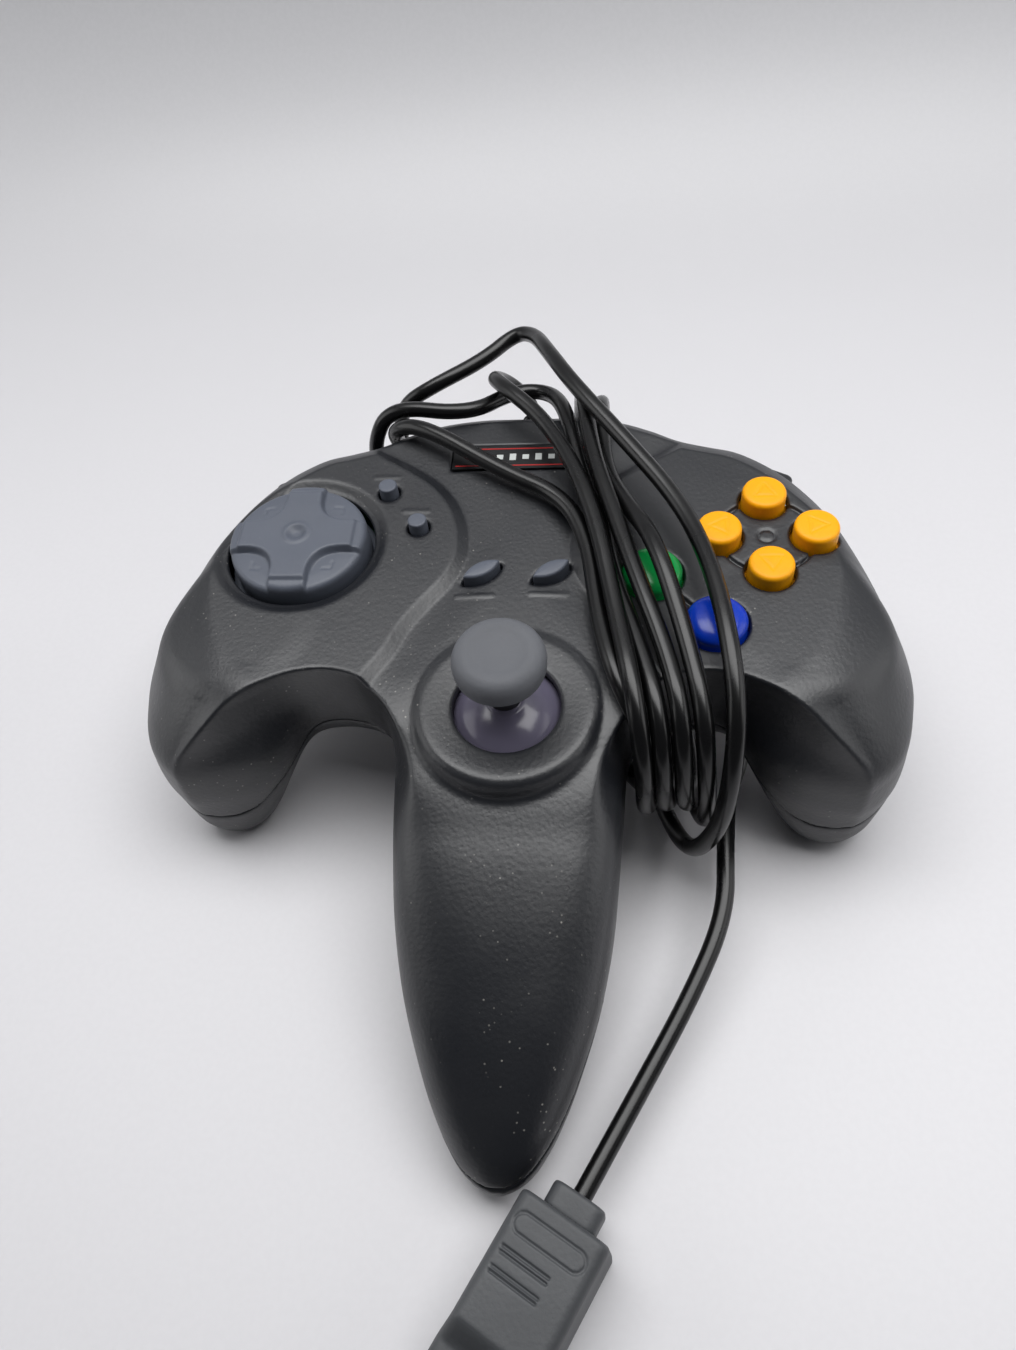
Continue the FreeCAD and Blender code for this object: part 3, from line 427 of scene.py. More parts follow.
STICK_Y, PIVOT_Z, STICK_HOLE_R = -2.0, 33.0, 10.6
# distance from the stick's axis, height of the collar's top there
COLLAR = [(0, 46.1), (10.4, 46.15), (12.5, 46.3), (14.2, 46.45), (15.6, 46.55), (16.8, 46.5), (17.9, 45.8),
          (18.6, 44.6), (19.4, 43.0), (22, 40)]
COLLAR_R = 18.8
PAD_X, PAD_Y, PAD_R = -48.7, 39.7, 15.3
C_X, C_Y, C_RING, C_R = 52.6, 40.3, 10.0, 4.7
GREEN_AT, BLUE_AT, DOME_R = (28.5, 29.7), (41.0, 16.8), 6.2
# underside of the buttons, and the flange that holds them below the face: how far it reaches out, its height
BUTTON_FOOT, FLANGE_OUT = 39.0, 1.1
TURNED_FLANGE_Z, FLANGE_Z = (42.2, 43.3), (42.25, 43.35)
SMALL_BUTTONS = {"set_button": (-30.5, 54.7), "clear_button": (-22.5, 44.0)}
SMALL_R = 2.1
LENS_BUTTONS = {"slow_button": (-7.4, 31.2), "start_button": (7.4, 31.2)}
LENS_LONG, LENS_SHORT, LENS_ANGLE = 4.5, 1.9, 32.0
# raised bars in place of lettering: middle, length
MARKS = [((-31.6, 59.6), 5.4), ((-23.6, 48.8), 5.4), ((-8.6, 25.2), 7.6), ((7.0, 25.6), 7.6)]
SCREW_SPOTS = [(29, 66), (-29, 66), (24, 13.5), (-24, 13.5), (0, -56)]
LABEL_Y, LABEL_W, LABEL_D = 66.5, 34.0, 7.4
PORT_X, PORT_Z = 19.0, (20.4, 31.2)
# the strain relief lies along y
RELIEF_Y, RELIEF_Z = (74.0, 90.0), 36.0
SHOULDER_AT, SHOULDER_ANGLE = (51.5, 70.6), -29.0
SHOULDER_L, SHOULDER_BACK, SHOULDER_PROUD, SHOULDER_Z = 23.0, -6.2, 0.4, (31.5, 39.8)
TRIGGER_X, TRIGGER_Y, TRIGGER_Z = 8.5, (-12, 13), (10.5, 16.8)


def c_spots():
    """Middles of the four yellow buttons."""
    spots = {}
    for k, name in enumerate(("c_right", "c_up", "c_left", "c_down")):
        turn = math.radians(90 * k)
        spots[name] = (C_X + C_RING * math.cos(turn), C_Y + C_RING * math.sin(turn))
    return spots


def lens_depth(x, y, spot, grow):
    """Distance in from a pointed oval's edge."""
    turn = math.radians(LENS_ANGLE)
    u = (x - spot[0]) * math.cos(turn) + (y - spot[1]) * math.sin(turn)
    v = np.abs((y - spot[1]) * math.cos(turn) - (x - spot[0]) * math.sin(turn))
    arc = (LENS_LONG ** 2 + LENS_SHORT ** 2) / (2 * LENS_SHORT)
    return arc + grow - np.hypot(u, v + arc - LENS_SHORT)


def case_grid():
    """Finer where the face and its details are, coarser low down and along the prong."""
    xs = grid_lines((-83, 83, CASE_STEP))
    ys = grid_lines((-84, -16, CASE_STEP * 1.5), (-16, 88, CASE_STEP))
    zs = grid_lines((-1.2, 40, CASE_STEP * 2), (40, 48.4, CASE_STEP))
    return Grid(xs, ys, zs)


def whole_outline(half):
    return np.vstack([half, half[::-1] * (-1, 1)])


def case_body(g):
    """Body with crowned lobes, without the prong and the legs."""
    x, y = np.abs(g.x[:, :, 0]), g.y[:, :, 0]
    edge = smooth_curve(OUTER_EDGE)
    outer = depth_inside(whole_outline(edge), x, y)
    notch = -depth_inside(np.vstack([smooth_curve(NOTCH_EDGE), [(17.5, -70), (90, -70)]]), x, y)
    middle = [(33, -70), (-90, -70), (-90, 110), (52, 110)]
    valley = depth_inside(np.vstack([smooth_curve(VALLEY_EDGE), middle]), x, y)
    crown_edge = np.vstack([edge[:-EDGE_SPANS_AT_PRONG * CURVE_STEPS - 1], CROWN_EDGE_END])
    rim_depth = depth_inside(whole_outline(crown_edge), x, y)
    width, rim, start = [read_table(CROWN, k, y) for k in (1, 2, 3)]
    share = np.clip((width - rim_depth) / (width - RIM_IN), 0, 1.6)
    top = LOBE_Z - (LOBE_Z - rim) * (start * share + (1 - start) * share ** 2)
    dip = VALLEY_DROP * np.clip(valley / VALLEY_BAND, 0, 1) - 0.5 * ramp(valley, VALLEY_BAND, 12)
    front_fall = 4.5 * ramp(-y, -6, 32) * (1 - ramp(x, 26, 34))
    top = np.minimum(top, LOBE_Z - dip - front_fall)
    slopes = np.gradient(top, g.lines[0], g.lines[1])
    lean = np.sqrt(1 + slopes[0] ** 2 + slopes[1] ** 2)[:, :, None]
    roof = (g.z - top[:, :, None]) / np.minimum(lean, 3)
    # low down at the front the wall is drawn in only half as far
    draw_in = read_table(WALL_LEVELS, 1, g.z) * (1 - 0.5 * ramp(-g.y, -6, 6) * ramp(-g.z, -30, -26))
    wall = draw_in - outer[:, :, None]
    notch_wall = read_table(WALL_LEVELS, 2, g.z) - notch[:, :, None]
    body = both(both(roof, wall, 1.0), notch_wall, 0.8)
    return both(body, BELLY_Z - g.z, 2.5)


def case_legs(g):
    cx, cy, half_x, half_y = [read_table(LEG_LEVELS, k, g.z) for k in (1, 2, 3, 4)]
    u, v = (np.abs(g.x) - cx) / half_x, (g.y - cy) / half_y
    reach = np.sqrt(u * u + v * v)
    field = (reach - 1) * np.minimum(half_x, half_y)
    return both(both(field, -g.z, 1.0), g.z - 43, 4.0)


def case_prong(g):
    """Middle prong: flat on top near the stick and round at its tip."""
    at = np.clip(g.y, PRONG_TIP, PRONG_BACK)
    half_w, high, low = [read_table(PRONG_STATIONS, k, at) for k in (1, 2, 3)]
    half_w = np.maximum(half_w, 0.8)
    half_h, middle = np.maximum((high - low) / 2, 0.8), (high + low) / 2
    u = np.abs(g.x) / half_w
    v = np.abs(g.z - middle) / half_h
    squareness = 2.6 + 1.2 * ramp(g.y, -50, -16)
    reach = (u ** squareness + v ** squareness) ** (1 / squareness)
    field = (reach - 1) * np.minimum(half_w, half_h)
    return np.maximum(np.maximum(field, g.y - PRONG_BACK), PRONG_TIP - g.y)


def face_relief(g):
    """How far details sink into the top face, negative where they stand up."""
    x, y = g.x[:, :, 0], g.y[:, :, 0]
    pad = np.hypot(x - PAD_X, y - PAD_Y)
    sunk = 1.3 * (1 - ramp(pad, PAD_R + 1.6, PAD_R + 4.8))
    ring = np.abs(np.hypot(x - C_X, y - C_Y) - C_RING)
    sunk += 0.9 * (1 - ramp(ring, 0.15, 0.55))
    centre_mark = np.abs(np.hypot(x - C_X, y - C_Y) - 1.7)
    sunk += 0.3 * (1 - ramp(centre_mark, 0.1, 0.5))
    link = line_distance(x, y, GREEN_AT, BLUE_AT)
    sunk += 0.9 * (1 - ramp(link, 0.15, 0.6))
    for (mx, my), length in MARKS:
        bar = line_distance(x, y, (mx - length / 2, my), (mx + length / 2, my))
        sunk -= 0.16 * (1 - ramp(bar, 0.25, 0.7))
    label = both(np.abs(x) - LABEL_W / 2 - 0.3, np.abs(y - LABEL_Y) - LABEL_D / 2 - 0.3, 0.8)
    sunk += 0.9 * (1 - ramp(label, -0.2, 0.2))
    return sunk[:, :, None]


def top_holes(g):
    """Everything that passes through the top face."""
    x, y = g.x[:, :, 0], g.y[:, :, 0]
    hole = np.hypot(x - PAD_X, y - PAD_Y) - PAD_R - 1.2
    for spot in c_spots().values():
        hole = np.minimum(hole, np.hypot(x - spot[0], y - spot[1]) - C_R - 0.5)
    for spot in (GREEN_AT, BLUE_AT):
        hole = np.minimum(hole, np.hypot(x - spot[0], y - spot[1]) - DOME_R - 0.45)
    for spot in SMALL_BUTTONS.values():
        hole = np.minimum(hole, np.hypot(x - spot[0], y - spot[1]) - SMALL_R - 0.4)
    for spot in LENS_BUTTONS.values():
        hole = np.minimum(hole, -lens_depth(x, y, spot, 0.4))
    hole = np.minimum(hole, np.hypot(x, y - STICK_Y) - STICK_HOLE_R)
    return np.maximum(hole[:, :, None], 32 - g.z)


def stick_collar(g):
    """Ring that stands up round the stick."""
    reach = np.hypot(g.x[:, :, 0], g.y[:, :, 0] - STICK_Y)
    crest = read_table(COLLAR, 1, reach)[:, :, None]
    return both(both((g.z - crest) * 0.8, reach[:, :, None] - COLLAR_R, 0.8), 37.5 - g.z, 0.5)


def shoulder_field(g, side, grow):
    """Shoulder button, or with some growth the room that it moves in."""
    turn = math.radians(SHOULDER_ANGLE)
    dx, dy = side * g.x - SHOULDER_AT[0], g.y - SHOULDER_AT[1]
    along = dx * math.cos(turn) + dy * math.sin(turn)
    across = dy * math.cos(turn) - dx * math.sin(turn)
    low, high = SHOULDER_BACK - 5 * grow, SHOULDER_PROUD + 10 * grow
    depth = np.abs(across - (low + high) / 2) - (high - low) / 2
    field = both(np.abs(along) - SHOULDER_L / 2 - grow, depth, 1.5)
    tall = (SHOULDER_Z[1] - SHOULDER_Z[0]) / 2 + grow
    return both(field, np.abs(g.z - sum(SHOULDER_Z) / 2) - tall, 1.5)


def case_form(g):
    """Closed outside of the case: body, prong and legs run into each other."""
    body, prong = case_body(g), case_prong(g)
    # how far the body may stand above the prong: it fades out in front of the stick and is free elsewhere
    room = -5 + 7.5 * ramp(g.y, -36, -12) + 8 * ramp(g.y, -14, 4) + 300 * ramp(g.y, 2, 14)
    room = room + 60 * ramp(np.abs(g.x), 24, 34)
    body = both(body, prong - room, 3.0)
    leg_fillet = 7.0 + 6.0 * (1 - ramp(g.y, -8, 8))
    return g.true_distance(either(either(body, prong, 3.5), case_legs(g), leg_fillet))


def case_shell(g):
    """Hollow case with every opening that both halves share."""
    form = case_form(g)
    outside = form + face_relief(g) * ramp(g.z, 38, 42)
    dish = np.maximum(np.hypot(g.x, g.y - STICK_Y) - COLLAR_R + 0.5, 44.0 - g.z)
    outside = either(np.maximum(outside, -dish), stick_collar(g), 1.6)
    hollow = np.maximum(form + WALL, g.z - 44.4)
    shell = both(np.maximum(outside, -hollow), -top_holes(g), 0.7)
    for side in (-1, 1):
        shell = both(shell, -shoulder_field(g, side, 0.45), 0.6)
    relief_hole = np.maximum(np.hypot(g.x, g.z - RELIEF_Z) - 3.7, 70 - g.y)
    shell = both(shell, -relief_hole, 0.5)
    return both(shell, -g.box((-PORT_X, PORT_X), (50, 92), PORT_Z, 1.0), 0.6)


def with_screw_posts(g, lower):
    """Adds a bored post at every case screw, sunk from below."""
    for sx, sy in SCREW_SPOTS:
        floor, seat, tip = (BELLY_Z + 1, BELLY_Z + 4, 30) if sy > 0 else (5, 7.5, 16)
        reach = np.hypot(g.x - sx, g.y - sy)
        post = np.maximum(np.maximum(reach - 3.9, floor - g.z), g.z - tip)
        lower = both(np.minimum(lower, post), -np.maximum(reach - 2.8, g.z - seat), 0.4)
        lower = np.maximum(lower, 1.5 - reach)
    return lower


def add_case():
    g = case_grid()
    shell = case_shell(g)
    aside = ramp(np.abs(g.x[:, :, 0]), 25, 30)
    middle_seam, side_seam = [read_table(seam, 1, g.y[:, :, 0]) for seam in (MIDDLE_SEAM, SIDE_SEAM)]
    seam = (middle_seam * (1 - aside) + side_seam * aside)[:, :, None]
    top = g.surface("top_shell_skin", both(shell, (seam + SEAM_GAP - g.z) * 0.85, 0.5))
    finish_piece(top, "shell_plastic", "case", "top_shell")

    foot_cone = np.hypot(g.x - 1, g.y - 71) - 7.0 - g.z * 0.2
    foot = both(g.box((-7, 9), (64, 78), (0, 19), 1.0), foot_cone, 2.0)
    lower = with_screw_posts(g, np.minimum(shell, foot))
    trigger_y = (TRIGGER_Y[0] - 1.2, TRIGGER_Y[1] + 1.4)
    trigger_room = g.box((-TRIGGER_X - 0.5, TRIGGER_X + 0.5), trigger_y, (0, 19.6), 1.5)
    lower = both(lower, -trigger_room, 0.6)
    lower = both(lower, (g.z - seam + SEAM_GAP) * 0.85, 0.5)
    liner = g.box((-PORT_X - 1.6, PORT_X + 1.6), (48.5, 82), (PORT_Z[0] - 1.6, PORT_Z[1] + 1.6))
    liner = np.maximum(liner, -g.box((-PORT_X, PORT_X), (51, 92), PORT_Z))
    bottom = g.surface("bottom_shell_skin", np.minimum(lower, liner))
    finish_piece(bottom, "shell_plastic", "case", "bottom_shell")


# ---------------------------------------------------------------- direction pad and buttons
# lathe work starts and ends this close to its axis
NEAR_AXIS = 0.001


def grid_about(cx, cy, reach, z_span, step):
    """Grid on a square round a middle, with the x, y and radius of its columns from that middle."""
    lines = grid_lines((-reach, reach, step))
    g = Grid(lines + np.float32(cx), lines + np.float32(cy), grid_lines((*z_span, step)))
    x, y = g.x[:, :, 0] - cx, g.y[:, :, 0] - cy
    return g, x, y, np.hypot(x, y)


def add_pad():
    """Direction pad: four raised arms, sunk quadrants, small arrows and a dimple in the middle."""
    g, x, y, r = grid_about(PAD_X, PAD_Y, PAD_R + 2.6, (39.2, 51.4), 0.3)
    quadrant = both(4.1 - np.abs(x), 4.1 - np.abs(y), 7.0)
    raised = ramp(quadrant, -0.35, 0.35)
    along = np.maximum(np.abs(x), np.abs(y))
    arm_top = 50.6 - 0.75 * ramp(along, 12.3, 13.2) - 0.2 * np.maximum(along - 13.2, 0) - 0.15 * ramp(r, 9, 3)
    floor = 48.75 - 0.25 * ramp(r, 11.5, 15.2)
    top = floor + (arm_top - floor) * raised
    top += 0.18 * ramp(np.abs(r - 2.6), 0.8, 0.2) - 0.75 * ramp(r, 2.4, 0.6)
    for k in range(4):
        turn = math.radians(45 + 90 * k)
        u = x * math.cos(turn) + y * math.sin(turn)
        v = np.abs(y * math.cos(turn) - x * math.sin(turn))
        top -= 0.22 * ramp(line_distance(u, v, (12.4, 0), (11.3, 1.3)), 0.4, 0.12)
    cap = both((g.z - top[:, :, None]) * 0.85, r[:, :, None] - PAD_R, 1.3)
    flange = np.maximum(r[:, :, None] - 16.8, g.z - 40.6)
    pad = both(np.minimum(cap, flange), 40 - g.z, 0.3)
    hollow = np.maximum(np.maximum(r[:, :, None] - PAD_R + 1.8, g.z - 46.4), 3.0 - r[:, :, None])
    skin = g.surface("direction_pad_skin", np.maximum(pad, -hollow))
    finish_piece(skin, "blue_grey_plastic", "pad", "direction_pad")


def flange_slab(g):
    low, high = FLANGE_Z
    return np.abs(g.z - (low + high) / 2) - (high - low) / 2


def add_c_buttons():
    """Round buttons with an engraved triangle that points away from the middle of the group."""
    tip, back, half = 2.2, -1.5, 2.2
    for k, (name, (cx, cy)) in enumerate(c_spots().items()):
        g, x, y, r = grid_about(cx, cy, 6.2, (38.6, 51.2), 0.22)
        turn = math.radians(90 * k)
        u = x * math.cos(turn) + y * math.sin(turn)
        v = np.abs(y * math.cos(turn) - x * math.sin(turn))
        slanted, upright = [line_distance(u, v, start, (back, half)) for start in ((tip, 0), (back, 0))]
        engraved = ramp(np.minimum(slanted, upright), 0.45, 0.1)
        crown = LOBE_Z + 3.4 - 0.012 * r ** 2 - 0.13 * engraved
        field = both(g.z - crown[:, :, None], r[:, :, None] - C_R, 1.0)
        flange = both(r[:, :, None] - C_R - FLANGE_OUT, flange_slab(g), 0.2)
        field = np.maximum(np.minimum(field, flange), BUTTON_FOOT - g.z)
        finish_piece(g.surface(name + "_skin", field), "yellow_plastic", name, name + "_button")


def turned_piece(name, profile, x, y, steps=96):
    """Lathe work about a vertical axis from (radius, height) points."""
    rings = []
    for k in range(steps):
        a = 2 * math.pi * k / steps
        rings.append([((x + r * math.cos(a)) * MM, (y + r * math.sin(a)) * MM, z * MM) for r, z in profile])
    points = [p for ring in rings for p in ring]
    n = len(profile)
    quads = [(k * n + j, (k + 1) % steps * n + j, (k + 1) % steps * n + j + 1, k * n + j + 1)
             for k in range(steps) for j in range(n - 1)]
    return mesh_object(name, points, np.array(quads))


def rounded_profile(points, radius, steps=6):
    """Profile with its inner corners rounded."""
    out = [points[0]]
    for a, b, c in zip(points, points[1:], points[2:]):
        va, vc = np.subtract(a, b), np.subtract(c, b)
        cut = min(radius, 0.45 * np.linalg.norm(va), 0.45 * np.linalg.norm(vc))
        start, end = b + va / np.linalg.norm(va) * cut, b + vc / np.linalg.norm(vc) * cut
        for t in np.linspace(0, 1, steps):
            out.append(tuple((1 - t) ** 2 * start + 2 * t * (1 - t) * np.array(b) + t ** 2 * end))
    out.append(points[-1])
    return out


def button_foot(radius):
    """Profile of a button from the middle of its underside to the top of its flange."""
    low, high = TURNED_FLANGE_Z
    return [(NEAR_AXIS, BUTTON_FOOT), (radius, BUTTON_FOOT), (radius, low), (radius + FLANGE_OUT, low),
            (radius + FLANGE_OUT, high), (radius, high)]


def add_round_buttons():
    """Green and blue domes, and the two small round buttons."""
    rise, top = 2.6, LOBE_Z + 3.5
    dome = [(DOME_R * math.cos(a) ** 0.8, top - rise + rise * math.sin(a))
            for a in np.linspace(0, math.pi / 2, 18)[:-1]] + [(NEAR_AXIS, top)]
    for name, (x, y) in (("green", GREEN_AT), ("blue", BLUE_AT)):
        skin = turned_piece(name + "_skin", button_foot(DOME_R) + dome, x, y)
        finish_piece(skin, name + "_plastic", name, name + "_button")
    top = LOBE_Z + 2.5
    profile = rounded_profile(button_foot(SMALL_R) + [(SMALL_R, top), (NEAR_AXIS, top)], 0.5)
    for node, (x, y) in SMALL_BUTTONS.items():
        skin = turned_piece(node + "_skin", profile, x, y, 64)
        finish_piece(skin, "blue_grey_plastic", node.split("_")[0], node)


def add_lens_buttons():
    """Two buttons in the shape of a pointed oval, low domes with a rounded edge."""
    for node, (cx, cy) in LENS_BUTTONS.items():
        g = grid_about(cx, cy, 5.4, (38.6, 49.0), 0.2)[0]
        inside = lens_depth(g.x[:, :, 0], g.y[:, :, 0], (cx, cy), -0.05)
        crown = 48.15 - 0.25 * np.clip(1 - inside / 1.9, 0, 1) ** 2
        field = both(g.z - crown[:, :, None], -inside[:, :, None], 0.6)
        flange = np.maximum(-lens_depth(g.x, g.y, (cx, cy), 0.9), flange_slab(g))
        field = np.maximum(np.minimum(field, flange), BUTTON_FOOT - g.z)
        finish_piece(g.surface(node + "_skin", field), "blue_grey_plastic", node.split("_")[0], node)


# ---------------------------------------------------------------- stick
def dome_arc(radius, first, last, points):
    """Arc about the stick's pivot, between two angles from the vertical."""
    return [(radius * math.sin(a), PIVOT_Z + radius * math.cos(a))
            for a in np.linspace(math.radians(first), math.radians(last), points)]


def add_stick():
    """Rubber cap with a shallow dish, and the dome skirt round the shaft."""
    cap = smooth_curve([(2.45, 56.6), (5.6, 56.5), (7.5, 57.1), (8.5, 58.4), (8.8, 60.2), (8.7, 61.8),
                        (8.0, 63.1), (6.9, 63.75), (5.8, 63.85), (4.4, 63.6), (2.5, 63.4),
                        (NEAR_AXIS, 63.35)], steps=6)
    skin = turned_piece("stick_cap_skin", cap, 0, STICK_Y)
    finish_piece(skin, "cap_rubber", "stick", "stick_cap")
    dome = dome_arc(15.0, 60, 14, 40)
    neck = [(3.3, 47.9), (3.12, 48.6), (3.08, 46.4)]
    skin = turned_piece("stick_skirt_skin", dome + neck + dome_arc(13.8, 14, 57, 30) + dome[:1], 0, STICK_Y)
    finish_piece(skin, "skirt_plastic", "stick", "stick_skirt")


# ---------------------------------------------------------------- shoulder buttons and trigger
def add_shoulders():
    for side, name in ((-1, "left_shoulder"), (1, "right_shoulder")):
        cx, cy = side * SHOULDER_AT[0], SHOULDER_AT[1]
        spans = (cx - 15, cx + 15), (cy - 14, cy + 10), (30.6, 41.4)
        g = Grid(*[grid_lines((*span, 0.4)) for span in spans])
        skin = g.surface(name + "_skin", shoulder_field(g, side, 0.0))
        finish_piece(skin, "shell_plastic", name, name + "_button")


def add_trigger():
    """Block with a scoop for the finger, on a round knuckle."""
    g = Grid(*[grid_lines((*span, 0.4)) for span in ((-9.6, 9.6), (-13, 15), (9.6, 17.6))])
    block = g.box((-TRIGGER_X, TRIGGER_X), TRIGGER_Y, TRIGGER_Z, 4.0)
    scoop = 14 - np.sqrt((g.y + 1.5) ** 2 + (g.z + 2.2) ** 2)
    block = both(block, scoop, 1.0)
    knuckle = np.maximum(np.hypot(g.y - 13, g.z - 15.8) - 1.0, np.abs(g.x) - TRIGGER_X)
    skin = g.surface("under_trigger_skin", np.minimum(block, knuckle))
    finish_piece(skin, "shell_plastic", "trigger", "under_trigger")


# ---------------------------------------------------------------- strain relief and label
def add_relief():
    """Ribbed sleeve along +Y, made as lathe work about a vertical axis and then laid down."""
    long = RELIEF_Y[1] - RELIEF_Y[0]
    profile = [(1.9, 0.0), (4.1, 1.0), (4.1, 3.2), (3.4, 3.2)]
    for k in range(5):
        at, rib, groove = 9.6 + 1.25 * k, 3.3 - 0.1 * k, 2.75 - 0.1 * k
        profile += [(rib, at), (groove, at + 0.15), (groove, at + 0.45), (rib - 0.05, at + 0.6)]
    profile += [(2.75, long - 0.3), (2.45, long), (1.9, long)]
    relief = turned_piece("strain_relief_skin", rounded_profile(profile, 0.12, 3), 0, 0, 48)
    place = Matrix.Translation((0, RELIEF_Y[0] * MM, RELIEF_Z * MM))
    relief.data.transform(place @ Matrix.Rotation(-math.pi / 2, 4, "X"))
    return finish_piece(relief, "lead_pvc", "case", "strain_relief")


def label_bar(name, cx, cy, width, depth, colour):
    """Low printed bar on the label film."""
    corners = [(cx + sx * width / 2, cy + sy * depth / 2, FACE_Z + up) for up in (0.08, 0.14)
               for sx, sy in ((-1, -1), (1, -1), (1, 1), (-1, 1))]
    quads = np.array([(3, 2, 1, 0), (4, 5, 6, 7), (0, 1, 5, 4), (1, 2, 6, 5), (2, 3, 7, 6), (3, 0, 4, 7)])
    thing = mesh_object(name, np.array(corners) * MM, quads)
    thing.data.polygons.foreach_set("use_smooth", [False] * len(quads))
    thing.data.materials.append(colour)
    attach(thing, "case")


def add_label():
    """Two thin red lines and a row of plain light marks in place of lettering."""
    red, pale = plain("label_red", srgb(176, 30, 30), 0.4), plain("label_pale", srgb(196, 200, 198), 0.45)
    for side, name in ((-1, "label_line_front"), (1, "label_line_rear")):
        label_bar(name, 0, LABEL_Y + side * 2.75, LABEL_W - 1.5, 0.35, red)
    for k in range(7):
        label_bar("label_mark_%d" % k, -9 + 3 * k, LABEL_Y, 1.5, 1.5 if k % 2 else 2.1, pale)


# ---------------------------------------------------------------- plug
PLUG_AT, PLUG_AXIS = (13.2, -86.2), -119.4
PLUG_W, PLUG_H, PLUG_L = 18.5, 17.4, 27.0
NOSE_L, NOSE_W, NOSE_H = 15.0, 19.7, 13.4
PLUG_STEP = 0.25


def laid_along_plug(thing):
    """Turns a piece made along +X to the plug's direction and moves it there."""
    place = Matrix.Translation((PLUG_AT[0] * MM, PLUG_AT[1] * MM, 0))
    thing.data.transform(place @ Matrix.Rotation(math.radians(PLUG_AXIS), 4, "Z"))
    return thing


def add_plug():
    """Overmoulded plug: raised grip block with an outline and ribs, then the lower nose."""
    spans = (-0.9, PLUG_L + NOSE_L + 0.9), (-10.8, 10.8), (-0.9, 18.6)
    g = Grid(*[grid_lines((*span, PLUG_STEP)) for span in spans])
    x, y = g.x[:, :, 0], g.y[:, :, 0]
    at_nose = ramp(x, 21.5, 26.5)
    crest = PLUG_H - (PLUG_H - NOSE_H) * at_nose
    half_w = PLUG_W / 2 + (NOSE_W - PLUG_W) / 2 * at_nose
    lean = np.maximum(g.z - 7, 0) * 0.06
    side = np.abs(g.y) - half_w[:, :, None] + lean
    outline = line_distance(x, y, (5.0, -5.4), (5.0, 4.8)) - 1.75
    sunk = 0.28 * ramp(np.abs(outline), 0.36, 0.08)
    for at in (9.5, 10.4, 12.9, 13.8):
        rib = line_distance(x, y, (at, -6.6), (at, 2.4))
        sunk = sunk + 0.4 * ramp(rib, 0.36, 0.08)
    roof = (g.z - (crest - sunk)[:, :, None]) * 0.9
    body = both(both(side, roof, 2.2), -g.z, 1.5)
    body = both(body, both(-g.x, g.x - PLUG_L - NOSE_L, 0.5), 1.1)
    socket = g.box((PLUG_L + 3, PLUG_L + NOSE_L + 3), (-6.4, 6.4), (2.8, 10.6), 2.5)
    body = both(body, -socket, 0.6)
    skin = laid_along_plug(g.surface("plug_body_skin", body))
    finish_piece(skin, "plug_plastic", "case", "plug_body")

    g = Grid(*[grid_lines((*span, PLUG_STEP)) for span in ((-5.4, 0.8), (-6, 6), (3.2, 14.2))])
    middle = g.z - PLUG_H / 2
    section = both(np.abs(g.y) - 5.2, np.abs(middle) - 4.6, 2.6)
    block = both(section, np.abs(g.x + 2.2) - 2.4, 0.9)
    hole = CORD_R + 0.02 - np.hypot(g.y, middle)
    boss = laid_along_plug(g.surface("plug_boss_skin", both(block, hole, 0.3)))
    finish_piece(boss, "plug_plastic", "case", "plug_boss")
    return [skin, boss]


# ---------------------------------------------------------------- stage and lights, in metres
def card_and_painted_shade():
    """Pale card with faint fibres and painted shade: its colour darkens towards the top of the sweep, where
    less light falls.
    """
    n = Nodes("sweep_card")
    fibres = n.noise(700.0, 4.0)
    axes = n.add("ShaderNodeSeparateXYZ", Vector=n.place)
    along = n.math("ADD", axes.outputs["Y"], axes.outputs["Z"])
    # painted shade: the card darkens with height and depth up the wall, in place of light falling off there
    painted_shade = n.mix(n.span(along, 0.06, 0.5, 0.0, 1.0), srgb(219, 218, 221), srgb(164, 165, 167))
    n.set(Base_Color=n.mix(n.span(fibres, 0.4, 0.6, 0.0, 0.1), painted_shade, srgb(206, 205, 208)), Roughness=0.42)
    n.bump((fibres, 0.00001))
    return n.material


def add_stage():
    """White sweep: a level floor that curves up into a wall behind the controller."""
    half_width, front, bend_at, bend_r, wall_top, steps = 1.4, -1.4, 0.18, 0.11, 0.9, 24
    profile = [(front, 0.0), (bend_at, 0.0)]
    for k in range(1, steps + 1):
        turn = math.radians(90 * k / steps)
        profile.append((bend_at + bend_r * math.sin(turn), bend_r * (1 - math.cos(turn))))
    profile.append((bend_at + bend_r, wall_top))
    points = [(x, y, z) for y, z in profile for x in (-half_width, half_width)]
    faces = [(2 * k, 2 * k + 1, 2 * k + 3, 2 * k + 2) for k in range(len(profile) - 1)]
    mesh = bpy.data.meshes.new("sweep")
    mesh.from_pydata(points, [], faces)
    mesh.polygons.foreach_set("use_smooth", [True] * len(faces))
    sweep = bpy.data.objects.new("sweep", mesh)
    bpy.context.scene.collection.objects.link(sweep)
    mesh.materials.append(card_and_painted_shade())


def add_light(name, at, aim, size, power):
    data = bpy.data.lights.new(name, "AREA")
    data.shape = "RECTANGLE"
    data.size, data.size_y = size
    data.energy = power
    light = bpy.data.objects.new(name, data)
    light.location = at
    light.rotation_euler = (Vector(aim) - Vector(at)).to_track_quat("-Z", "Y").to_euler()
    bpy.context.scene.collection.objects.link(light)


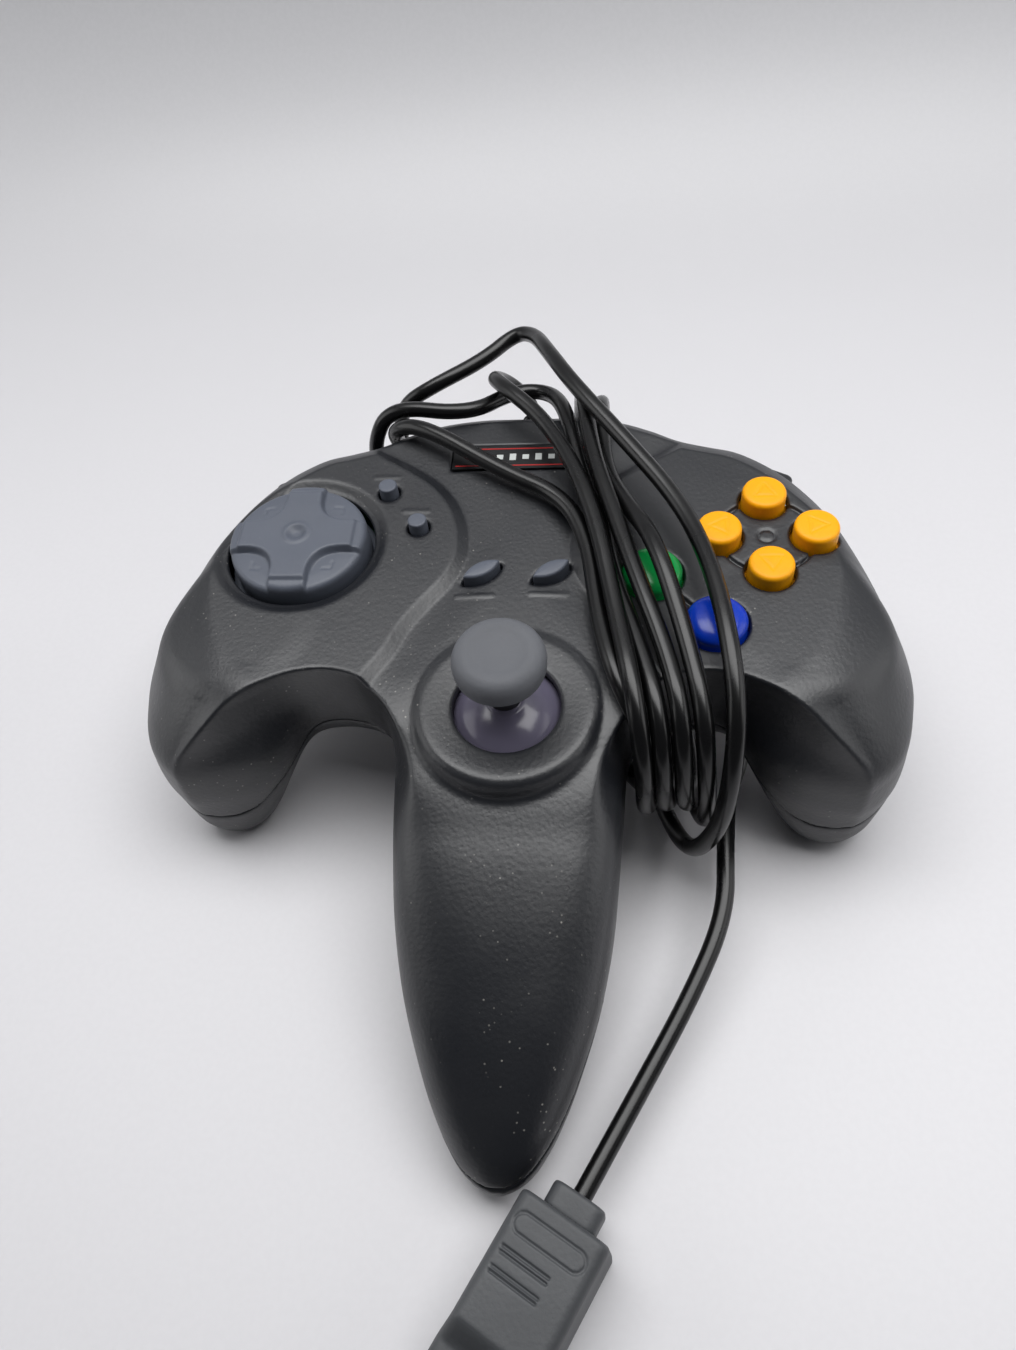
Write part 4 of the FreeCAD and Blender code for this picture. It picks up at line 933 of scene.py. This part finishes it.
def add_lights():
    add_light("softbox", (0.02, 0.13, 0.6), (0.0, 0.05, 0.0), (0.9, 0.4), 5.2)
    add_light("left_fill", (-0.75, 0.05, 0.32), (0.0, 0.0, 0.03), (0.6, 0.5), 1.4)
    add_light("right_fill", (0.75, 0.05, 0.32), (0.0, 0.0, 0.03), (0.6, 0.5), 1.3)
    world = bpy.data.worlds.new("world")
    world.use_nodes = True
    background = world.node_tree.nodes["Background"]
    background.inputs["Color"].default_value = srgb(214, 216, 222)
    background.inputs["Strength"].default_value = 0.09
    bpy.context.scene.world = world
    bpy.context.scene.view_settings.view_transform = "Standard"


# ---------------------------------------------------------------- lead
CORD_R = 1.85
# in metres
LEAD_ROUTE = [
    # out of the strain relief and folded back over the rear edge, first pass
    (0, 90, 36), (0, 95.5, 36), (-6, 99, 41), (-9.5, 91, 49.5), (-5, 82, 53.4), (3, 73.5, 52.8),
    (10.8, 59, 53), (17, 39, 53.3), (20.8, 18, 51.8), (24.6, -3.5, 52.8), (26.6, -14.8, 42), (27, -14.6, 27),
    (28.5, -6, 16), (26, 10, 14.3), (8, 35, 14.3), (-12, 60, 14.3), (-27, 78, 15), (-31.5, 85, 25),
    (-33, 80.5, 38),
    # second pass, crossing from the left rear corner
    (-32.5, 76, 47), (-24, 72.5, 51), (-4, 58.5, 49), (9.5, 50.5, 49.3), (15.3, 37, 49.3), (17.4, 18, 49),
    (21.2, 1.5, 50.2), (26.2, -6.5, 45), (28, -8.5, 31), (27, -4.5, 17), (20.5, 7, 13.7), (4, 28, 14.3),
    (-18, 56, 14.3), (-34, 75, 15), (-39.3, 81.5, 25),
    # third pass, round the rear edge
    (-39.5, 79.5, 39), (-33.5, 82, 49), (-14, 77.5, 49.4), (-4.5, 91, 44.8), (5, 90, 45.2), (9.5, 76.5, 50.3),
    (12.6, 60, 49.2), (18.0, 42, 49.6), (20.3, 28, 49.4), (26, 8, 50.2), (29.2, -6, 50), (30, -14.2, 41),
    (31, -14, 27), (33, -4, 15.5), (31.5, 14, 14.3), (25, 40, 14.3), (16, 66, 14.3), (11.5, 86, 15),
    (11.8, 92, 26),
    # fourth pass, upper layer
    (12.2, 90.5, 42), (13.2, 80, 53.8), (15.6, 60, 53.2), (20.3, 42, 53.5), (25.3, 24, 53.4), (30.6, 7, 51.8),
    (33.2, -6, 50.8), (34, -14, 41), (34.9, -13.8, 27), (37.6, -4, 15.6), (36.5, 14, 14.3), (30.5, 40, 14.3),
    (22, 66, 14.3), (16.8, 85, 15.2), (17, 91.5, 27),
    # fifth pass, over the green button
    (17.4, 89.5, 42), (17.2, 79, 50.5), (18.2, 59, 49.2), (23.5, 45, 51.6), (28.8, 30.5, 57.2),
    (34.4, 10, 52.8),
    (37.4, -6, 51), (38.2, -13.6, 41), (39.4, -13.6, 27), (39.6, -10.5, 13), (35.5, 5, 9.6), (21, 27, 9.8),
    (-1, 51, 9.8), (-23, 72, 9.8), (-34.5, 88, 15), (-36, 92.5, 28),
    # sixth pass, standing clear of the rear edge in a kinked loop
    (-33.5, 92.5, 40), (-25, 92.8, 45.5), (-12.5, 100.5, 47), (-4.5, 107.5, 49.4), (0.5, 104, 51.6),
    (4.5, 92, 56),
    (11, 77, 58.4), (22, 61.5, 56.6), (34.5, 43, 54.4), (40, 24, 55.6), (42.4, 6, 55.6), (43.4, -7, 51),
    (42.8, -15.5, 40), (41.2, -18.5, 26), (36.5, -17, 11.5), (31, -2, 5.2), (27, 17, 4), (36, 32, 4),
    (49, 27, 5), (50, 11, 7.5), (45, -3, 12),
    # tail
    (43.8, -16, 13.5), (43.2, -30, 12.5), (36, -46, 10.5), (24.3, -66.5, 8.7), (15.46, -82.19, 8.7)]


def add_lead():
    """The lead as one round tube on a smooth line."""
    data = bpy.data.curves.new("lead_tube", "CURVE")
    data.dimensions = "3D"
    data.resolution_u = 10
    data.bevel_depth = CORD_R * MM
    data.bevel_resolution = 6
    data.use_fill_caps = True
    line = data.splines.new("NURBS")
    line.points.add(len(LEAD_ROUTE) - 1)
    for point, (x, y, z) in zip(line.points, LEAD_ROUTE):
        point.co = (x * MM, y * MM, z * MM, 1.0)
    line.order_u = 3
    line.use_endpoint_u = True
    lead = bpy.data.objects.new("lead_tube", data)
    bpy.context.scene.collection.objects.link(lead)
    data.materials.append(MATERIALS["lead_pvc"])
    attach(lead, "case")
    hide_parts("lead")
    return lead


add_camera()
add_stage()
add_lights()

# nodes that no skin stands for keep their shape and get their slot's material
for part in frame["record"]["subparts"]:
    thing = frame["nodes"][part["node"]]
    thing.data.materials.clear()
    thing.data.materials.append(MATERIALS[part["material_slot"]])

add_case()
add_pad()
add_c_buttons()
add_round_buttons()
add_lens_buttons()
add_stick()
add_shoulders()
add_trigger()
add_label()
relief = add_relief()
plug_pieces = add_plug()
lead = add_lead()
